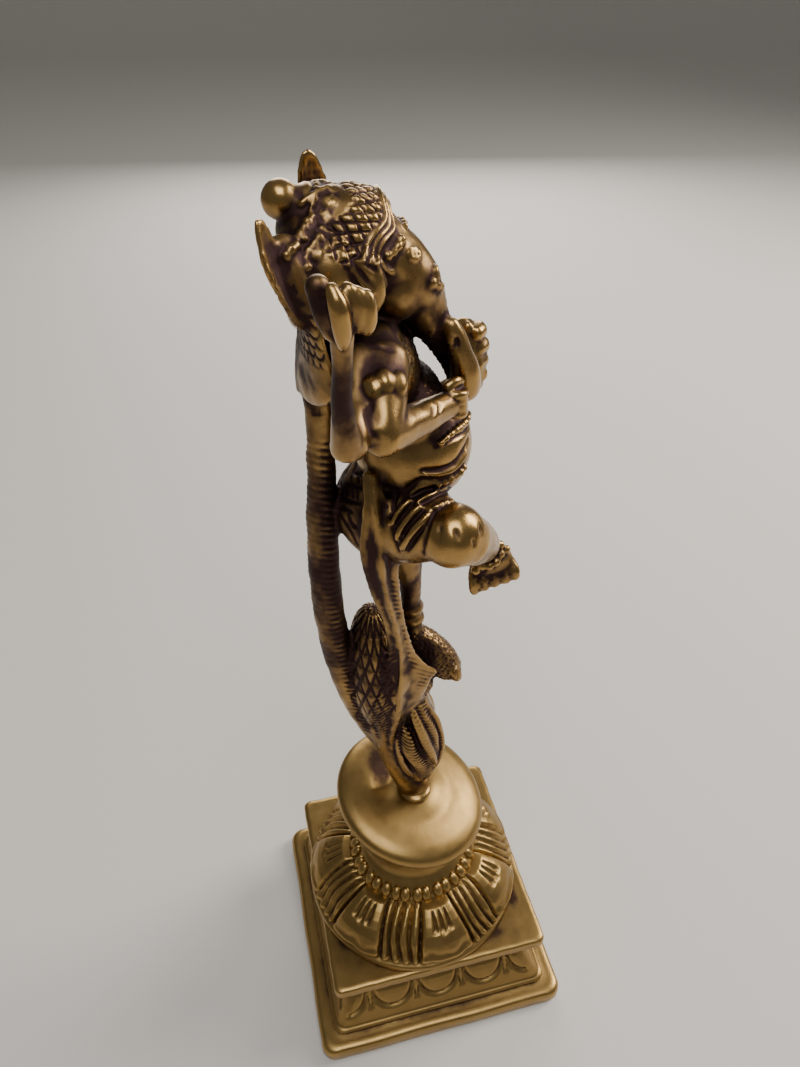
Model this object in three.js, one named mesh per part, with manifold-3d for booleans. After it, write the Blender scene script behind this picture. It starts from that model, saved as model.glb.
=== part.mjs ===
// Dancing elephant-headed deity with a raised leg, on a serpent support,
// standing on a lotus and a square stepped plinth. Cast brass, two pieces.
// Millimetres, +Z up. The figure faces -Y, its right side is -X.
// Origin: centre of the flat underside of the plinth.
import * as THREE from 'three';
import { mergeVertices } from 'three/addons/utils/BufferGeometryUtils.js';
import Module from 'manifold-3d';

const wasm = await Module();
wasm.setup();

// ---------------------------------------------------------------- dimensions
const FOOT_HALF = 38.0;        // half side of the lower slab
const FRIEZE_LOW = 32.9;       // half side of the engraved block at its foot; its faces slope in
const FRIEZE_HIGH = 27.7;      // and at its head
const SLAB_HALF = 32.0;        // half side of the upper slab
const FOOT_TOP = 5.5;
const FRIEZE_TOP = 16.1;
const CORNICE_TOP = 26.7;
const SLAB_TOP = 30.7;
const CORNER_R = 4.0;
const LOTUS_R = 32.3;          // outer fillet of the lotus
const PETAL_AT = [28.8, 80.2, 131.9, 185.4, 235.6, 286.5, 337.5];   // degrees, middles of the broad petals
const BEAD_R = 18.3;
const BEAD_Z = 46.6;
const BEADS = 36;
const NECK_R = 14.0;
const DISC_R = 21.3;
const DISC_AT = [1.4, 1.5];     // the disc was brazed on a little off centre
const DISC_LEAN = [0.15, 0.22]; // and leaning, with its middle left level
const DISC_LOW = 65.4;
const DISC_TOP = 73.4;
const AXIS_Y = 1.2;            // lotus and disc stand a little back of centre
const JOINT_GAP = 0.3;         // film of solder under the figure
const ROD_R = 3.45;
const HEAD = { c: [0, 12.2, 229.4], r: [9.2, 7.6, 9.6] };
const BELLY = { c: [0, 1.6, 191], r: [12.6, 11.6, 12.4] };
const CHEST = { c: [0, 9, 207], r: [12, 8.4, 10.6] };
const BREAST = { c: [0, 3.4, 198.5], r: [11, 8.2, 9.5] };
const PELVIS = { c: [0, 6.6, 176.5], r: [12.4, 11.2, 11.4] };

// ---------------------------------------------------------------- helpers
function solid(geometry) {
  const g = geometry.clone();
  for (const name of Object.keys(g.attributes)) if (name !== 'position') g.deleteAttribute(name);
  const m = mergeVertices(g, 1e-4);
  const idx = m.index.array;
  const keep = [];
  for (let i = 0; i < idx.length; i += 3) {
    const [a, b, c] = [idx[i], idx[i + 1], idx[i + 2]];
    if (a !== b && b !== c && a !== c) keep.push(a, b, c);
  }
  return new wasm.Manifold(new wasm.Mesh({
    numProp: 3,
    vertProperties: new Float32Array(m.attributes.position.array),
    triVerts: new Uint32Array(keep),
  }));
}

function toGeometry(man) {
  const mesh = man.getMesh();
  const g = new THREE.BufferGeometry();
  g.setAttribute('position', new THREE.BufferAttribute(new Float32Array(mesh.vertProperties), 3));
  g.setIndex(new THREE.BufferAttribute(new Uint32Array(mesh.triVerts), 1));
  g.computeVertexNormals();
  return g;
}

// ellipsoid: centre, radii, optional Euler rotation in degrees
function ball(c, r, rot = [0, 0, 0], w = 10, h = 7) {
  const g = new THREE.SphereGeometry(1, w, h);
  g.rotateX(Math.PI / 2);
  g.scale(r[0], r[1], r[2]);
  const d = Math.PI / 180;
  g.applyMatrix4(new THREE.Matrix4().makeRotationFromEuler(new THREE.Euler(rot[0] * d, rot[1] * d, rot[2] * d, 'ZYX')));
  g.translate(c[0], c[1], c[2]);
  return solid(g);
}

const smooth = (a, b, t) => a + (b - a) * t * t * (3 - 2 * t);
const smoothstep = (a, b, x) => { const t = Math.min(1, Math.max(0, (x - a) / (b - a))); return t * t * (3 - 2 * t); };

// straight-line reading of a table of [t, value]
function read(table, t) {
  for (let i = 1; i < table.length; i++) {
    const [a, va] = table[i - 1], [b, vb] = table[i];
    if (t <= b) return va + (vb - va) * Math.max(0, t - a) / (b - a);
  }
  return table[table.length - 1][1];
}

// a round or flattened limb along stations [x, y, z, radius, across]
function limb(stations, { sides = 6, steps = 8, ref = [1, 0, 0], round = 0.12, end = 0.45 } = {}) {
  const pts = stations.map((s) => new THREE.Vector3(s[0], s[1], s[2]));
  const curve = new THREE.CatmullRomCurve3(pts, false, 'centripetal');
  const n = stations.length - 1;
  const R = new THREE.Vector3(...ref);
  const at = (t) => {
    const u = Math.min(t * n, n - 1e-6);
    const i = Math.floor(u);
    const f = u - i;
    const k = (j) => smooth(stations[i][j], stations[i + 1][j], f);
    const wide = (s) => (s[4] === undefined ? 1 : s[4]);
    const T = curve.getTangent(t).normalize();
    const N = R.clone().addScaledVector(T, -R.dot(T)).normalize();
    const B = new THREE.Vector3().crossVectors(T, N);
    return { P: curve.getPoint(t), N, B, r: k(3), w: smooth(wide(stations[i]), wide(stations[i + 1]), f) };
  };
  const total = steps + (round > 0 ? 2 : 0);
  const ts = [];
  if (round > 0) ts.push(0, round * 0.35);
  for (let i = 0; i <= steps; i++) {
    const t = i / steps;
    if (round > 0 && (i === 0 || i === steps)) continue;
    ts.push(t);
  }
  if (round > 0) ts.push(1 - round * 0.35, 1);
  const g = new THREE.CylinderGeometry(1, 1, 1, sides, ts.length - 1, false);
  const pos = g.attributes.position;
  for (let v = 0; v < pos.count; v++) {
    const rad = Math.hypot(pos.getX(v), pos.getZ(v));
    const a = Math.atan2(pos.getX(v), pos.getZ(v));
    const t = ts[Math.round((0.5 - pos.getY(v)) * (ts.length - 1))];
    const f = at(t);
    let r = f.r * rad;
    if (round > 0) {
      const e = Math.min(t, 1 - t) / round;
      if (e < 1) r *= end + (1 - end) * Math.sqrt(1 - (1 - e) * (1 - e));
    }
    const p = f.P.clone().addScaledVector(f.N, r * f.w * Math.cos(a)).addScaledVector(f.B, r * Math.sin(a));
    pos.setXYZ(v, p.x, p.y, p.z);
  }
  let m = solid(g);
  if (m.volume() < 0) {
    const idx = g.index.array;
    for (let i = 0; i < idx.length; i += 3) { const q = idx[i]; idx[i] = idx[i + 1]; idx[i + 1] = q; }
    m = solid(g);
  }
  return m;
}

// a stack of rounded squares [half side, z, corner radius], one closed loft
function squareStack(levels) {
  const arc = 3;
  const n = 4 * (arc + 1);
  const g = new THREE.CylinderGeometry(1, 1, 1, n, levels.length - 1, false);
  const pos = g.attributes.position;
  const top = levels.length - 1;
  for (let v = 0; v < pos.count; v++) {
    const rad = Math.hypot(pos.getX(v), pos.getZ(v));
    const row = Math.round((pos.getY(v) + 0.5) * top);
    const [h, z, cr] = levels[row];
    let a = Math.atan2(pos.getX(v), pos.getZ(v));
    if (a < -1e-6) a += 2 * Math.PI;
    const i = Math.round(a / (2 * Math.PI / n)) % n;
    const corner = Math.floor(i / (arc + 1));
    const j = i % (arc + 1);
    const ang = (corner * 90 + j * 90 / arc) * Math.PI / 180;
    const cx = [1, -1, -1, 1][corner] * (h - cr);
    const cy = [1, 1, -1, -1][corner] * (h - cr);
    if (rad < 0.5) pos.setXYZ(v, 0, 0, z);
    else pos.setXYZ(v, cx + cr * Math.cos(ang), cy + cr * Math.sin(ang), z);
  }
  let m = solid(g);
  if (m.volume() < 0) {
    const idx = g.index.array;
    for (let i = 0; i < idx.length; i += 3) { const q = idx[i]; idx[i] = idx[i + 1]; idx[i + 1] = q; }
    m = solid(g);
  }
  return m;
}

// profile of [radius, z] turned about a vertical axis; wave(angle, z) adds to the radius
function turned(profile, segments, wave = null, y0 = 0, x0 = 0) {
  const g = new THREE.LatheGeometry(profile.map(([r, z]) => new THREE.Vector2(r, z)), segments);
  g.rotateX(Math.PI / 2);
  const pos = g.attributes.position;
  for (let v = 0; v < pos.count; v++) {
    let x = pos.getX(v), y = pos.getY(v);
    const z = pos.getZ(v);
    const r = Math.hypot(x, y);
    if (wave && r > 1) {
      const a = Math.round(Math.atan2(y, x) / (2 * Math.PI / segments)) * (2 * Math.PI / segments);
      const k = (r + wave(a, z)) / r;
      x *= k; y *= k;
    }
    pos.setXYZ(v, x + x0, y + y0, z);
  }
  let m = solid(g);
  if (m.volume() < 0) {
    const idx = g.index.array;
    for (let i = 0; i < idx.length; i += 3) { const q = idx[i]; idx[i] = idx[i + 1]; idx[i + 1] = q; }
    m = solid(g);
  }
  return m;
}

// ---------------------------------------------------------------- plinth
function buildPlinth() {
  const steps = squareStack([
    [FOOT_HALF - 0.8, 0, CORNER_R], [FOOT_HALF, 1.2, CORNER_R], [FOOT_HALF, 3.9, CORNER_R], [FOOT_HALF - 0.5, 5.0, CORNER_R], [FOOT_HALF - 1.6, FOOT_TOP, CORNER_R],
    [FRIEZE_LOW + 0.4, FOOT_TOP + 0.1, 3.4], [FRIEZE_LOW + 0.8, FOOT_TOP + 1.0, 3.4], [FRIEZE_LOW, FOOT_TOP + 1.9, 3.2],
    [30.3, 12.0, 2.6], [FRIEZE_HIGH, FRIEZE_TOP, 2.2], [26.9, 18.6, 2.0], [27.9, 22.6, 2.0],
    [SLAB_HALF - 0.9, CORNICE_TOP, 2.2], [SLAB_HALF, CORNICE_TOP + 1.0, 2.2], [SLAB_HALF, SLAB_TOP - 1.0, 2.2], [SLAB_HALF - 1.0, SLAB_TOP, 2.2],
  ]);

  const petal = (a, z) => {
    // broad raised petals, a groove down each side of them, lobed ground between
    const u = (z - 34.2) / (44.8 - 34.2);
    if (u < -0.02 || u > 1) return 0;
    const deg = a * 180 / Math.PI;
    let d = 360;
    for (const c of PETAL_AT) d = Math.min(d, Math.abs(((deg - c + 540) % 360) - 180));
    const half = 15.4 - 3.4 * Math.max(0, u) ** 1.5;
    if (d < half * 0.92) return 1.8 * (1 - 0.35 * (d / half) ** 3);
    if (d < half * 1.25) return -0.5;
    return 1.1 - 0.5 * u;
  };
  const lotus = turned([
    [0, SLAB_TOP - 1.0], [LOTUS_R - 0.8, SLAB_TOP - 1.0], [LOTUS_R - 0.7, SLAB_TOP], [LOTUS_R, SLAB_TOP + 1.1], [LOTUS_R - 0.6, SLAB_TOP + 2.3],
    [30.4, 34.2], [29.2, 37.0], [26.1, 40.7], [21.8, 43.6], [18.6, 44.9],
    [NECK_R + 0.4, 45.6], [NECK_R + 0.2, 52], [0, 52],
  ], 49, petal, AXIS_Y);
  const bead = turned([
    [0, BEAD_Z - 2.2], [BEAD_R - 0.4, BEAD_Z - 1.4], [BEAD_R + 0.7, BEAD_Z], [BEAD_R - 0.9, BEAD_Z + 1.7], [0, BEAD_Z + 2.6],
  ], BEADS, null, AXIS_Y + 0.2, 0.3);
  const disc = turned([
    [0, 48], [NECK_R + 1.4, 48.6], [NECK_R, 52], [NECK_R + 0.4, 57.4], [NECK_R + 1.6, 60.8], [DISC_R - 1.4, DISC_LOW], [DISC_R - 0.3, DISC_LOW + 2.2],
    [DISC_R, DISC_LOW + 4.0], [DISC_R - 0.8, DISC_TOP - 2.3], [DISC_R - 3.4, DISC_TOP - 1.0], [12, DISC_TOP - 0.2], [6, DISC_TOP], [0, DISC_TOP],
  ], 28, null, DISC_AT[1], DISC_AT[0]).warp((v) => {
    const dx = v[0] - DISC_AT[0], dy = v[1] - DISC_AT[1];
    v[2] += (DISC_LEAN[0] * dx + DISC_LEAN[1] * dy) * smoothstep(4, 12, Math.hypot(dx, dy)) * smoothstep(52, 64, v[2]);
  });
  return wasm.Manifold.union([steps, lotus, bead, disc]);
}

// ---------------------------------------------------------------- serpent support
function buildSerpent() {
  const foot = DISC_TOP + JOINT_GAP;
  const lump = new THREE.CylinderGeometry(4.2, 5.2, 5, 14, 1);
  lump.rotateX(Math.PI / 2);
  lump.translate(0, 1.4, foot + 2.5);
  const parts = [
    solid(lump),
    // fluted front of the hood that carries the foot
    limb([[1.2, 0.3, 77, 3.7, 1.1], [0.4, 0, 84, 4.4, 1.35], [0, -0.9, 92, 5.6, 1.45], [0, -1.0, 101, 5.4, 1.5], [0, -0.4, 109, 4.2, 1.45], [0, 0.8, 117, 2.8, 1.3]], { steps: 5 }),
    // back of the neck, up to the scaled swelling
    limb([[0, 2.4, 76.5, 4.2, 1.1], [0, 5, 88, 4.6, 1.2], [0, 8, 100, 5, 1.2], [0, 10.5, 111, 5, 1.2]], { steps: 4 }),
    ball([0, 11.0, 128], [9, 6.3, 20.2], [0, 0, 0], 10, 8),
    // coil under the sole
    limb([[0, 9.5, 117, 5.2, 1.3], [0.5, 4, 119.5, 5.4, 1.4], [1, -0.8, 122, 4.4, 1.3]], { steps: 3, ref: [1, 0, 0] }),
    // tail rising behind the figure
    limb([[0, 7.4, 96, ROD_R - 0.45], [0, 11.2, 104, ROD_R - 0.35], [0, 15.2, 115, ROD_R - 0.2], [0, 18.1, 127, ROD_R], [0, 20.0, 140, ROD_R],
      [0, 20.9, 157, ROD_R], [0, 20.6, 173, ROD_R - 0.2], [0, 19.8, 187, ROD_R - 0.5], [0, 19.2, 200, 2.8], [0, 20.6, 212, 2.2]], { sides: 7, steps: 10, round: 0.05 }),
  ];
  return parts;
}

// spread hood behind the head. Its foot grips the tail, its blade turns about the vertical as it rises.
const HOOD = { low: 204.5, high: 232.4, half: 14.3, turn: 26, mid: [[0, 21.9], [0.1, 21.8], [0.45, 20.6], [0.74, 19.9], [0.88, 20.6], [1, 22.2]] };

function buildHood() {
  const g = new THREE.SphereGeometry(1, 14, 8);
  g.rotateX(Math.PI / 2);
  const pos = g.attributes.position;
  for (let v = 0; v < pos.count; v++) {
    const x = pos.getX(v), y = pos.getY(v), z = pos.getZ(v);
    const t = (z + 1) / 2;                       // 0 at the foot, 1 at the top
    const c = Math.sqrt(Math.max(0, 1 - z * z));
    const s = c > 1e-3 ? x / c : 0;              // -1..1 across
    const half = HOOD.half * Math.sqrt(Math.max(0, 1 - (1 - Math.min(1, t / 0.22)) ** 2)) * (1 - Math.max(0, 2 * t - 1) ** 2 + 1e-6) ** 0.2;
    const high = HOOD.low + (HOOD.high - HOOD.low) * t;
    const a = -HOOD.turn * Math.PI / 180 * ((high - 198.8) / 33.5) ** 2;
    const across = half * Math.sin(1.25 * s) / Math.sin(1.25);
    const back = 1.2 * (c > 1e-3 ? y / c : 0) - (4.6 - 1.6 * t) * Math.abs(s) ** 2.2 * Math.min(1, 0.4 + 3 * t);
    pos.setXYZ(v, across * Math.cos(a) - back * Math.sin(a), read(HOOD.mid, t) + across * Math.sin(a) + back * Math.cos(a), high);
  }
  // two pointed leaves standing on its upper corners
  const near = limb([[-11.9, 21.2, 221, 1.2, 1.8], [-12.5, 24.0, 227.8, 1.1, 2.4], [-12.2, 25.9, 233, 0.9, 2.5], [-11.8, 27.1, 238.0, 0.6, 1.2]], { steps: 4, ref: [0.80, -0.60, 0] });
  const far = limb([[12.4, 14.6, 224.5, 1.0, 2.2], [11.6, 15.4, 231, 1.0, 2.8], [10.9, 16.0, 237, 0.9, 2.7], [10.5, 16.5, 242.0, 0.6, 1.2]], { steps: 4, ref: [0.36, -0.93, 0] });
  return wasm.Manifold.union([solid(g), near, far]);
}

// ---------------------------------------------------------------- sash
function buildSash() {
  // long folded leaf: widest where its corner turns forward, narrow at both ends
  return limb([
    [-9.0, 11.0, 189, 1.6, 1.2], [-12.2, 11.5, 183.4, 1.6, 1.8], [-12.6, 11.2, 172, 1.6, 2.5], [-12.0, 10.5, 164, 1.6, 2.0], [-10.8, 8.5, 155.6, 1.6, 1.7],
    [-9.5, 6.7, 146, 1.6, 1.9], [-8.6, 5.2, 137, 1.6, 3.2], [-7.9, 4.7, 131, 1.6, 3.9], [-7.2, 5.8, 125, 1.6, 3.8], [-6.2, 7.2, 117, 1.7, 2.9], [-4.8, 7.9, 108, 1.8, 1.8],
    [-3.8, 7.6, 98, 1.8, 1.1], [-2.9, 4.4, 87, 1.6, 1.0], [-1.8, 3.0, 80.6, 1.6, 1.0],
  ], { steps: 12, ref: [0.05, -0.95, -0.3], round: 0.03 });
}

// ---------------------------------------------------------------- body
function buildBody() {
  const parts = [];
  parts.push(ball(PELVIS.c, PELVIS.r, [0, 0, 0], 12, 8));
  parts.push(ball(BELLY.c, BELLY.r, [0, 0, 0], 12, 8));
  parts.push(ball(CHEST.c, CHEST.r, [0, 0, 0], 12, 8));
  parts.push(ball(BREAST.c, BREAST.r, [0, 0, 0], 12, 7));
  parts.push(limb([[-13, 10.2, 213.5, 4.4], [0, 10, 213, 6.2], [13, 10.2, 213.5, 4.4]], { steps: 4, ref: [0, 1, 0] }));
  parts.push(limb([[0, 11.6, 211, 5.8], [0, 12.6, 222, 5.6]], { steps: 2 }));
  return parts;
}

function buildLegs() {
  const parts = [];
  // standing leg, the figure's left
  parts.push(limb([[5.5, 5.5, 174, 7.6], [4.8, 4, 166, 6.6], [3.6, 2.4, 158, 4.4], [3, 1.3, 151, 2.7], [3, 1.0, 143, 2.4]], { steps: 5 }));
  parts.push(limb([[3, 0.9, 144.4, 2.2], [3, 0.8, 142.4, 2.9], [3.1, 0.7, 138.2, 2.9], [3.2, 0.5, 133, 2.5]], { steps: 4, round: 0.1, end: 0.7 }));
  parts.push(limb([[4.2, 2.4, 134.4, 2.7], [2.8, -1.0, 131.8, 4.0], [1.4, -4.2, 128.0, 4.5], [0.4, -6.9, 124.6, 4.2]], { steps: 4, ref: [0, 0.4, 1] }));
  // raised leg, the figure's right, knee out to the side
  parts.push(limb([[-4, 6.5, 176.5, 9.2], [-9, 4.6, 178.6, 8.6], [-14.5, 1.6, 180.4, 7.2], [-16.6, 0.4, 180.8, 6.2]], { steps: 4, ref: [0, 0, 1] }));
  parts.push(ball([-18.4, -1.6, 180.8], [6.3, 6.3, 6.3], [0, 0, 0], 11, 7));
  parts.push(limb([[-18.8, -3.2, 180.2, 5.4], [-14, -7.2, 174.8, 4.9], [-9.5, -10.6, 170, 4.0], [-6, -12.6, 166.6, 3.2]], { steps: 4, ref: [0, 0, 1] }));
  parts.push(limb([[-3.8, -11.8, 166.8, 2.6, 1.1], [-5.8, -13.2, 164.4, 3.0, 1.4], [-7.2, -14.3, 161.4, 2.8, 1.85], [-8.4, -14.5, 158.2, 2.1, 2.5]], { steps: 4, ref: [0, 1, 0] }));
  return parts;
}

function mirrorX(st) { return st.map((s) => [-s[0], ...s.slice(1)]); }

function buildArms() {
  const parts = [];
  const front = [[-11.5, 9.5, 214, 4.6], [-17.5, 11.2, 210.8, 4.2], [-22.4, 12.6, 206.6, 3.7]];
  const frontFore = [[-22.6, 12.6, 206.6, 3.6], [-16, 5.2, 204.8, 3.2], [-9.4, -3.6, 203, 2.4]];
  const rear = [[-11.5, 12.5, 214, 4.4], [-19, 16, 209.4, 3.7], [-26.0, 18.2, 207.8, 3.0]];
  const rearFore = [[-26.2, 18.6, 207.6, 2.8], [-28.6, 19.2, 214, 2.0], [-31.0, 19.4, 223, 1.6], [-32.6, 19.4, 229.6, 1.8]];
  parts.push(limb(front, { steps: 3, ref: [0, 0, 1] }), limb(frontFore, { steps: 3, ref: [0, 0, 1] }));
  parts.push(ball([-9.2, -4.0, 203.8], [2.4, 2.6, 3.1], [0, 0, 20], 10, 7));
  parts.push(limb(rear, { steps: 3, ref: [0, 0, 1] }), limb(rearFore, { steps: 3, ref: [1, 0, 0] }));
  parts.push(ball([-33.0, 19.4, 232.2], [2.9, 3.7, 4.4], [0, 0, 0], 10, 7));
  parts.push(ball([-22.6, 12.6, 206.4], [3.9, 3.9, 3.9]), ball([-26.4, 18.3, 207.4], [3.1, 3.1, 3.1]));
  parts.push(ball([20.6, 8, 201.6], [3.7, 3.7, 3.7]), ball([26.4, 18.3, 207.4], [3.1, 3.1, 3.1]));
  // left arms
  parts.push(limb([[11.5, 9.5, 214, 4.6], [17, 10.5, 209, 4.1], [20.5, 8, 202.5, 3.6]], { steps: 3, ref: [0, 0, 1] }));
  parts.push(limb([[20.5, 8, 201.4, 3.4], [18.8, 0.4, 193.6, 2.9], [14.6, -7.2, 192.2, 2.5], [9.6, -11.2, 197.6, 2.3]], { steps: 4, ref: [0, 0, 1] }));
  parts.push(limb(mirrorX(rear), { steps: 3, ref: [0, 0, 1] }));
  parts.push(limb([[26.2, 18.2, 207.4, 3.0], [28.6, 17, 213.5, 2.4], [30.2, 14.8, 219.5, 2.0], [30.8, 13.8, 223.6, 2.0]], { steps: 3, ref: [1, 0, 0] }));
  parts.push(ball([31.4, 13.2, 226.4], [2.9, 3.4, 4.2], [0, 0, 0], 10, 7));
  // bowl of sweets in the lower left hand
  parts.push(ball([8.0, -11.6, 203.0], [4.3, 4.6, 9.0], [-7, 0, 0], 10, 8));
  return parts;
}

function buildHead() {
  const parts = [];
  parts.push(ball(HEAD.c, HEAD.r, [0, 0, 0], 12, 8));
  parts.push(limb([[0, 12.0, 230.4, 8.2, 1.0], [0, 8.2, 227.8, 6.9, 1.05], [0, 4.4, 225.0, 6.0, 1.1], [0, 1.6, 221.6, 5.3, 1.1], [0, 0.2, 217.8, 3.8, 1.1]], { sides: 10, steps: 5, ref: [1, 0, 0] }));
  // crown leaning back, with its round knop
  parts.push(limb([[0, 12.0, 230.8, 8.6], [0, 16.4, 233.6, 6.4], [0, 19.6, 235.8, 4.0], [0, 21.6, 236.9, 3.2]], { sides: 10, steps: 3 }));
  parts.push(ball([0, 19.8, 231.8], [9.6, 4.4, 4.8], [0, 0, 0], 10, 6));
  parts.push(ball([0, 22.6, 237.3], [3.1, 3.1, 3.1]));
  // trunk: down, then curled forward and up
  parts.push(limb([[0, 0.2, 219.2, 4.7], [0, -2.0, 214.6, 3.6], [0, -4.4, 210.6, 2.9], [0, -6.6, 206.6, 2.7], [-0.4, -7.6, 203.2, 2.6], [-1.8, -8.4, 201.2, 2.3]], { steps: 6, round: 0.05 }));
  parts.push(limb([[-1.2, -8.0, 202.2, 2.5], [-2.8, -8.0, 202.6, 2.7], [-3.8, -7.5, 206.0, 2.8], [-3.9, -6.5, 209.6, 2.4], [-3.6, -5.2, 213.2, 2.1], [-3.4, -4.2, 216.0, 1.5]], { steps: 6, sides: 7, round: 0.06 }));
  // ears
  for (const s of [-1, 1]) {
    parts.push(ball([s * 9.2, 12.8, 226.2], [4.8, 2.4, 5.8], [0, 0, -s * 58], 10, 6));
  }
  return parts;
}

// ---------------------------------------------------------------- assembly
const root = new THREE.Group();
root.name = 'figure_group';

const plinth = new THREE.Mesh(toGeometry(buildPlinth()), new THREE.MeshStandardMaterial({ color: 0x8a6a2c, roughness: 0.36, metalness: 1.0 }));
plinth.name = 'plinth';
root.add(plinth);

const cast = wasm.Manifold.union([...buildSerpent(), buildHood(), buildSash(), ...buildBody(), ...buildLegs(), ...buildArms(), ...buildHead()]);
const figure = new THREE.Mesh(toGeometry(cast), new THREE.MeshStandardMaterial({ color: 0x7d5c2a, roughness: 0.4, metalness: 1.0 }));
figure.name = 'figure';
root.add(figure);

export default root;
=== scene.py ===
import math

import bpy
import numpy as np
from mathutils import Matrix, Vector
from mathutils.bvhtree import BVHTree
from mathutils.kdtree import KDTree


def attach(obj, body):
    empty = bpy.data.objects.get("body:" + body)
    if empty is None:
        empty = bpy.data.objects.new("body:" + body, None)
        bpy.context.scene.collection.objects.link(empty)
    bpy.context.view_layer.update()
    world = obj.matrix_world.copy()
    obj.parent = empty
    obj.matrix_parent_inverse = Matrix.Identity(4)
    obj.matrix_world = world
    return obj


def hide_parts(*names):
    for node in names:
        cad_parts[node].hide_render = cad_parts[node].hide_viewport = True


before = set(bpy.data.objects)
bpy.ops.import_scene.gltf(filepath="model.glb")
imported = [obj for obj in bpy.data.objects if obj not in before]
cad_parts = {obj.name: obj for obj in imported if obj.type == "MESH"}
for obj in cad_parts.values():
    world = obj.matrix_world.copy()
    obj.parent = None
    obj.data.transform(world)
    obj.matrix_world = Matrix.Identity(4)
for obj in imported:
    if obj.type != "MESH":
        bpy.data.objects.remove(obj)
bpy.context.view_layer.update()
rng = np.random.default_rng(7)

# Work is in millimetres. The figure faces -Y, its right side is -X.
AXIS_Y = 1.2
PETALS = 7


# ------------------------------------------------------------------ numpy modelling tools
def unit(v):
    v = np.asarray(v, float)
    return v / max(1e-9, np.linalg.norm(v))


def smooth_path(points, per=8):
    """Centripetal Catmull-Rom through rows of numbers; the first three are the place."""
    p = np.asarray(points, float)
    if len(p) == 2:
        t = np.linspace(0, 1, per + 1)[:, None]
        return p[0] * (1 - t) + p[1] * t
    a = np.vstack([2 * p[0] - p[1], p, 2 * p[-1] - p[-2]])
    out = []
    for i in range(1, len(a) - 2):
        q = a[i - 1 : i + 3]
        d = np.maximum(np.sqrt(np.linalg.norm(np.diff(q[:, :3], axis=0), axis=1)), 1e-3)
        t0, t1 = 0.0, d[0]
        t2 = t1 + d[1]
        t3 = t2 + d[2]
        for t in np.linspace(t1, t2, per, endpoint=False):
            A1 = (t1 - t) / (t1 - t0) * q[0] + (t - t0) / (t1 - t0) * q[1]
            A2 = (t2 - t) / (t2 - t1) * q[1] + (t - t1) / (t2 - t1) * q[2]
            A3 = (t3 - t) / (t3 - t2) * q[2] + (t - t2) / (t3 - t2) * q[3]
            B1 = (t2 - t) / (t2 - t0) * A1 + (t - t0) / (t2 - t0) * A2
            B2 = (t3 - t) / (t3 - t1) * A2 + (t - t1) / (t3 - t1) * A3
            out.append((t2 - t) / (t2 - t1) * B1 + (t - t1) / (t2 - t1) * B2)
    out.append(p[-1])
    return np.array(out)


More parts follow.
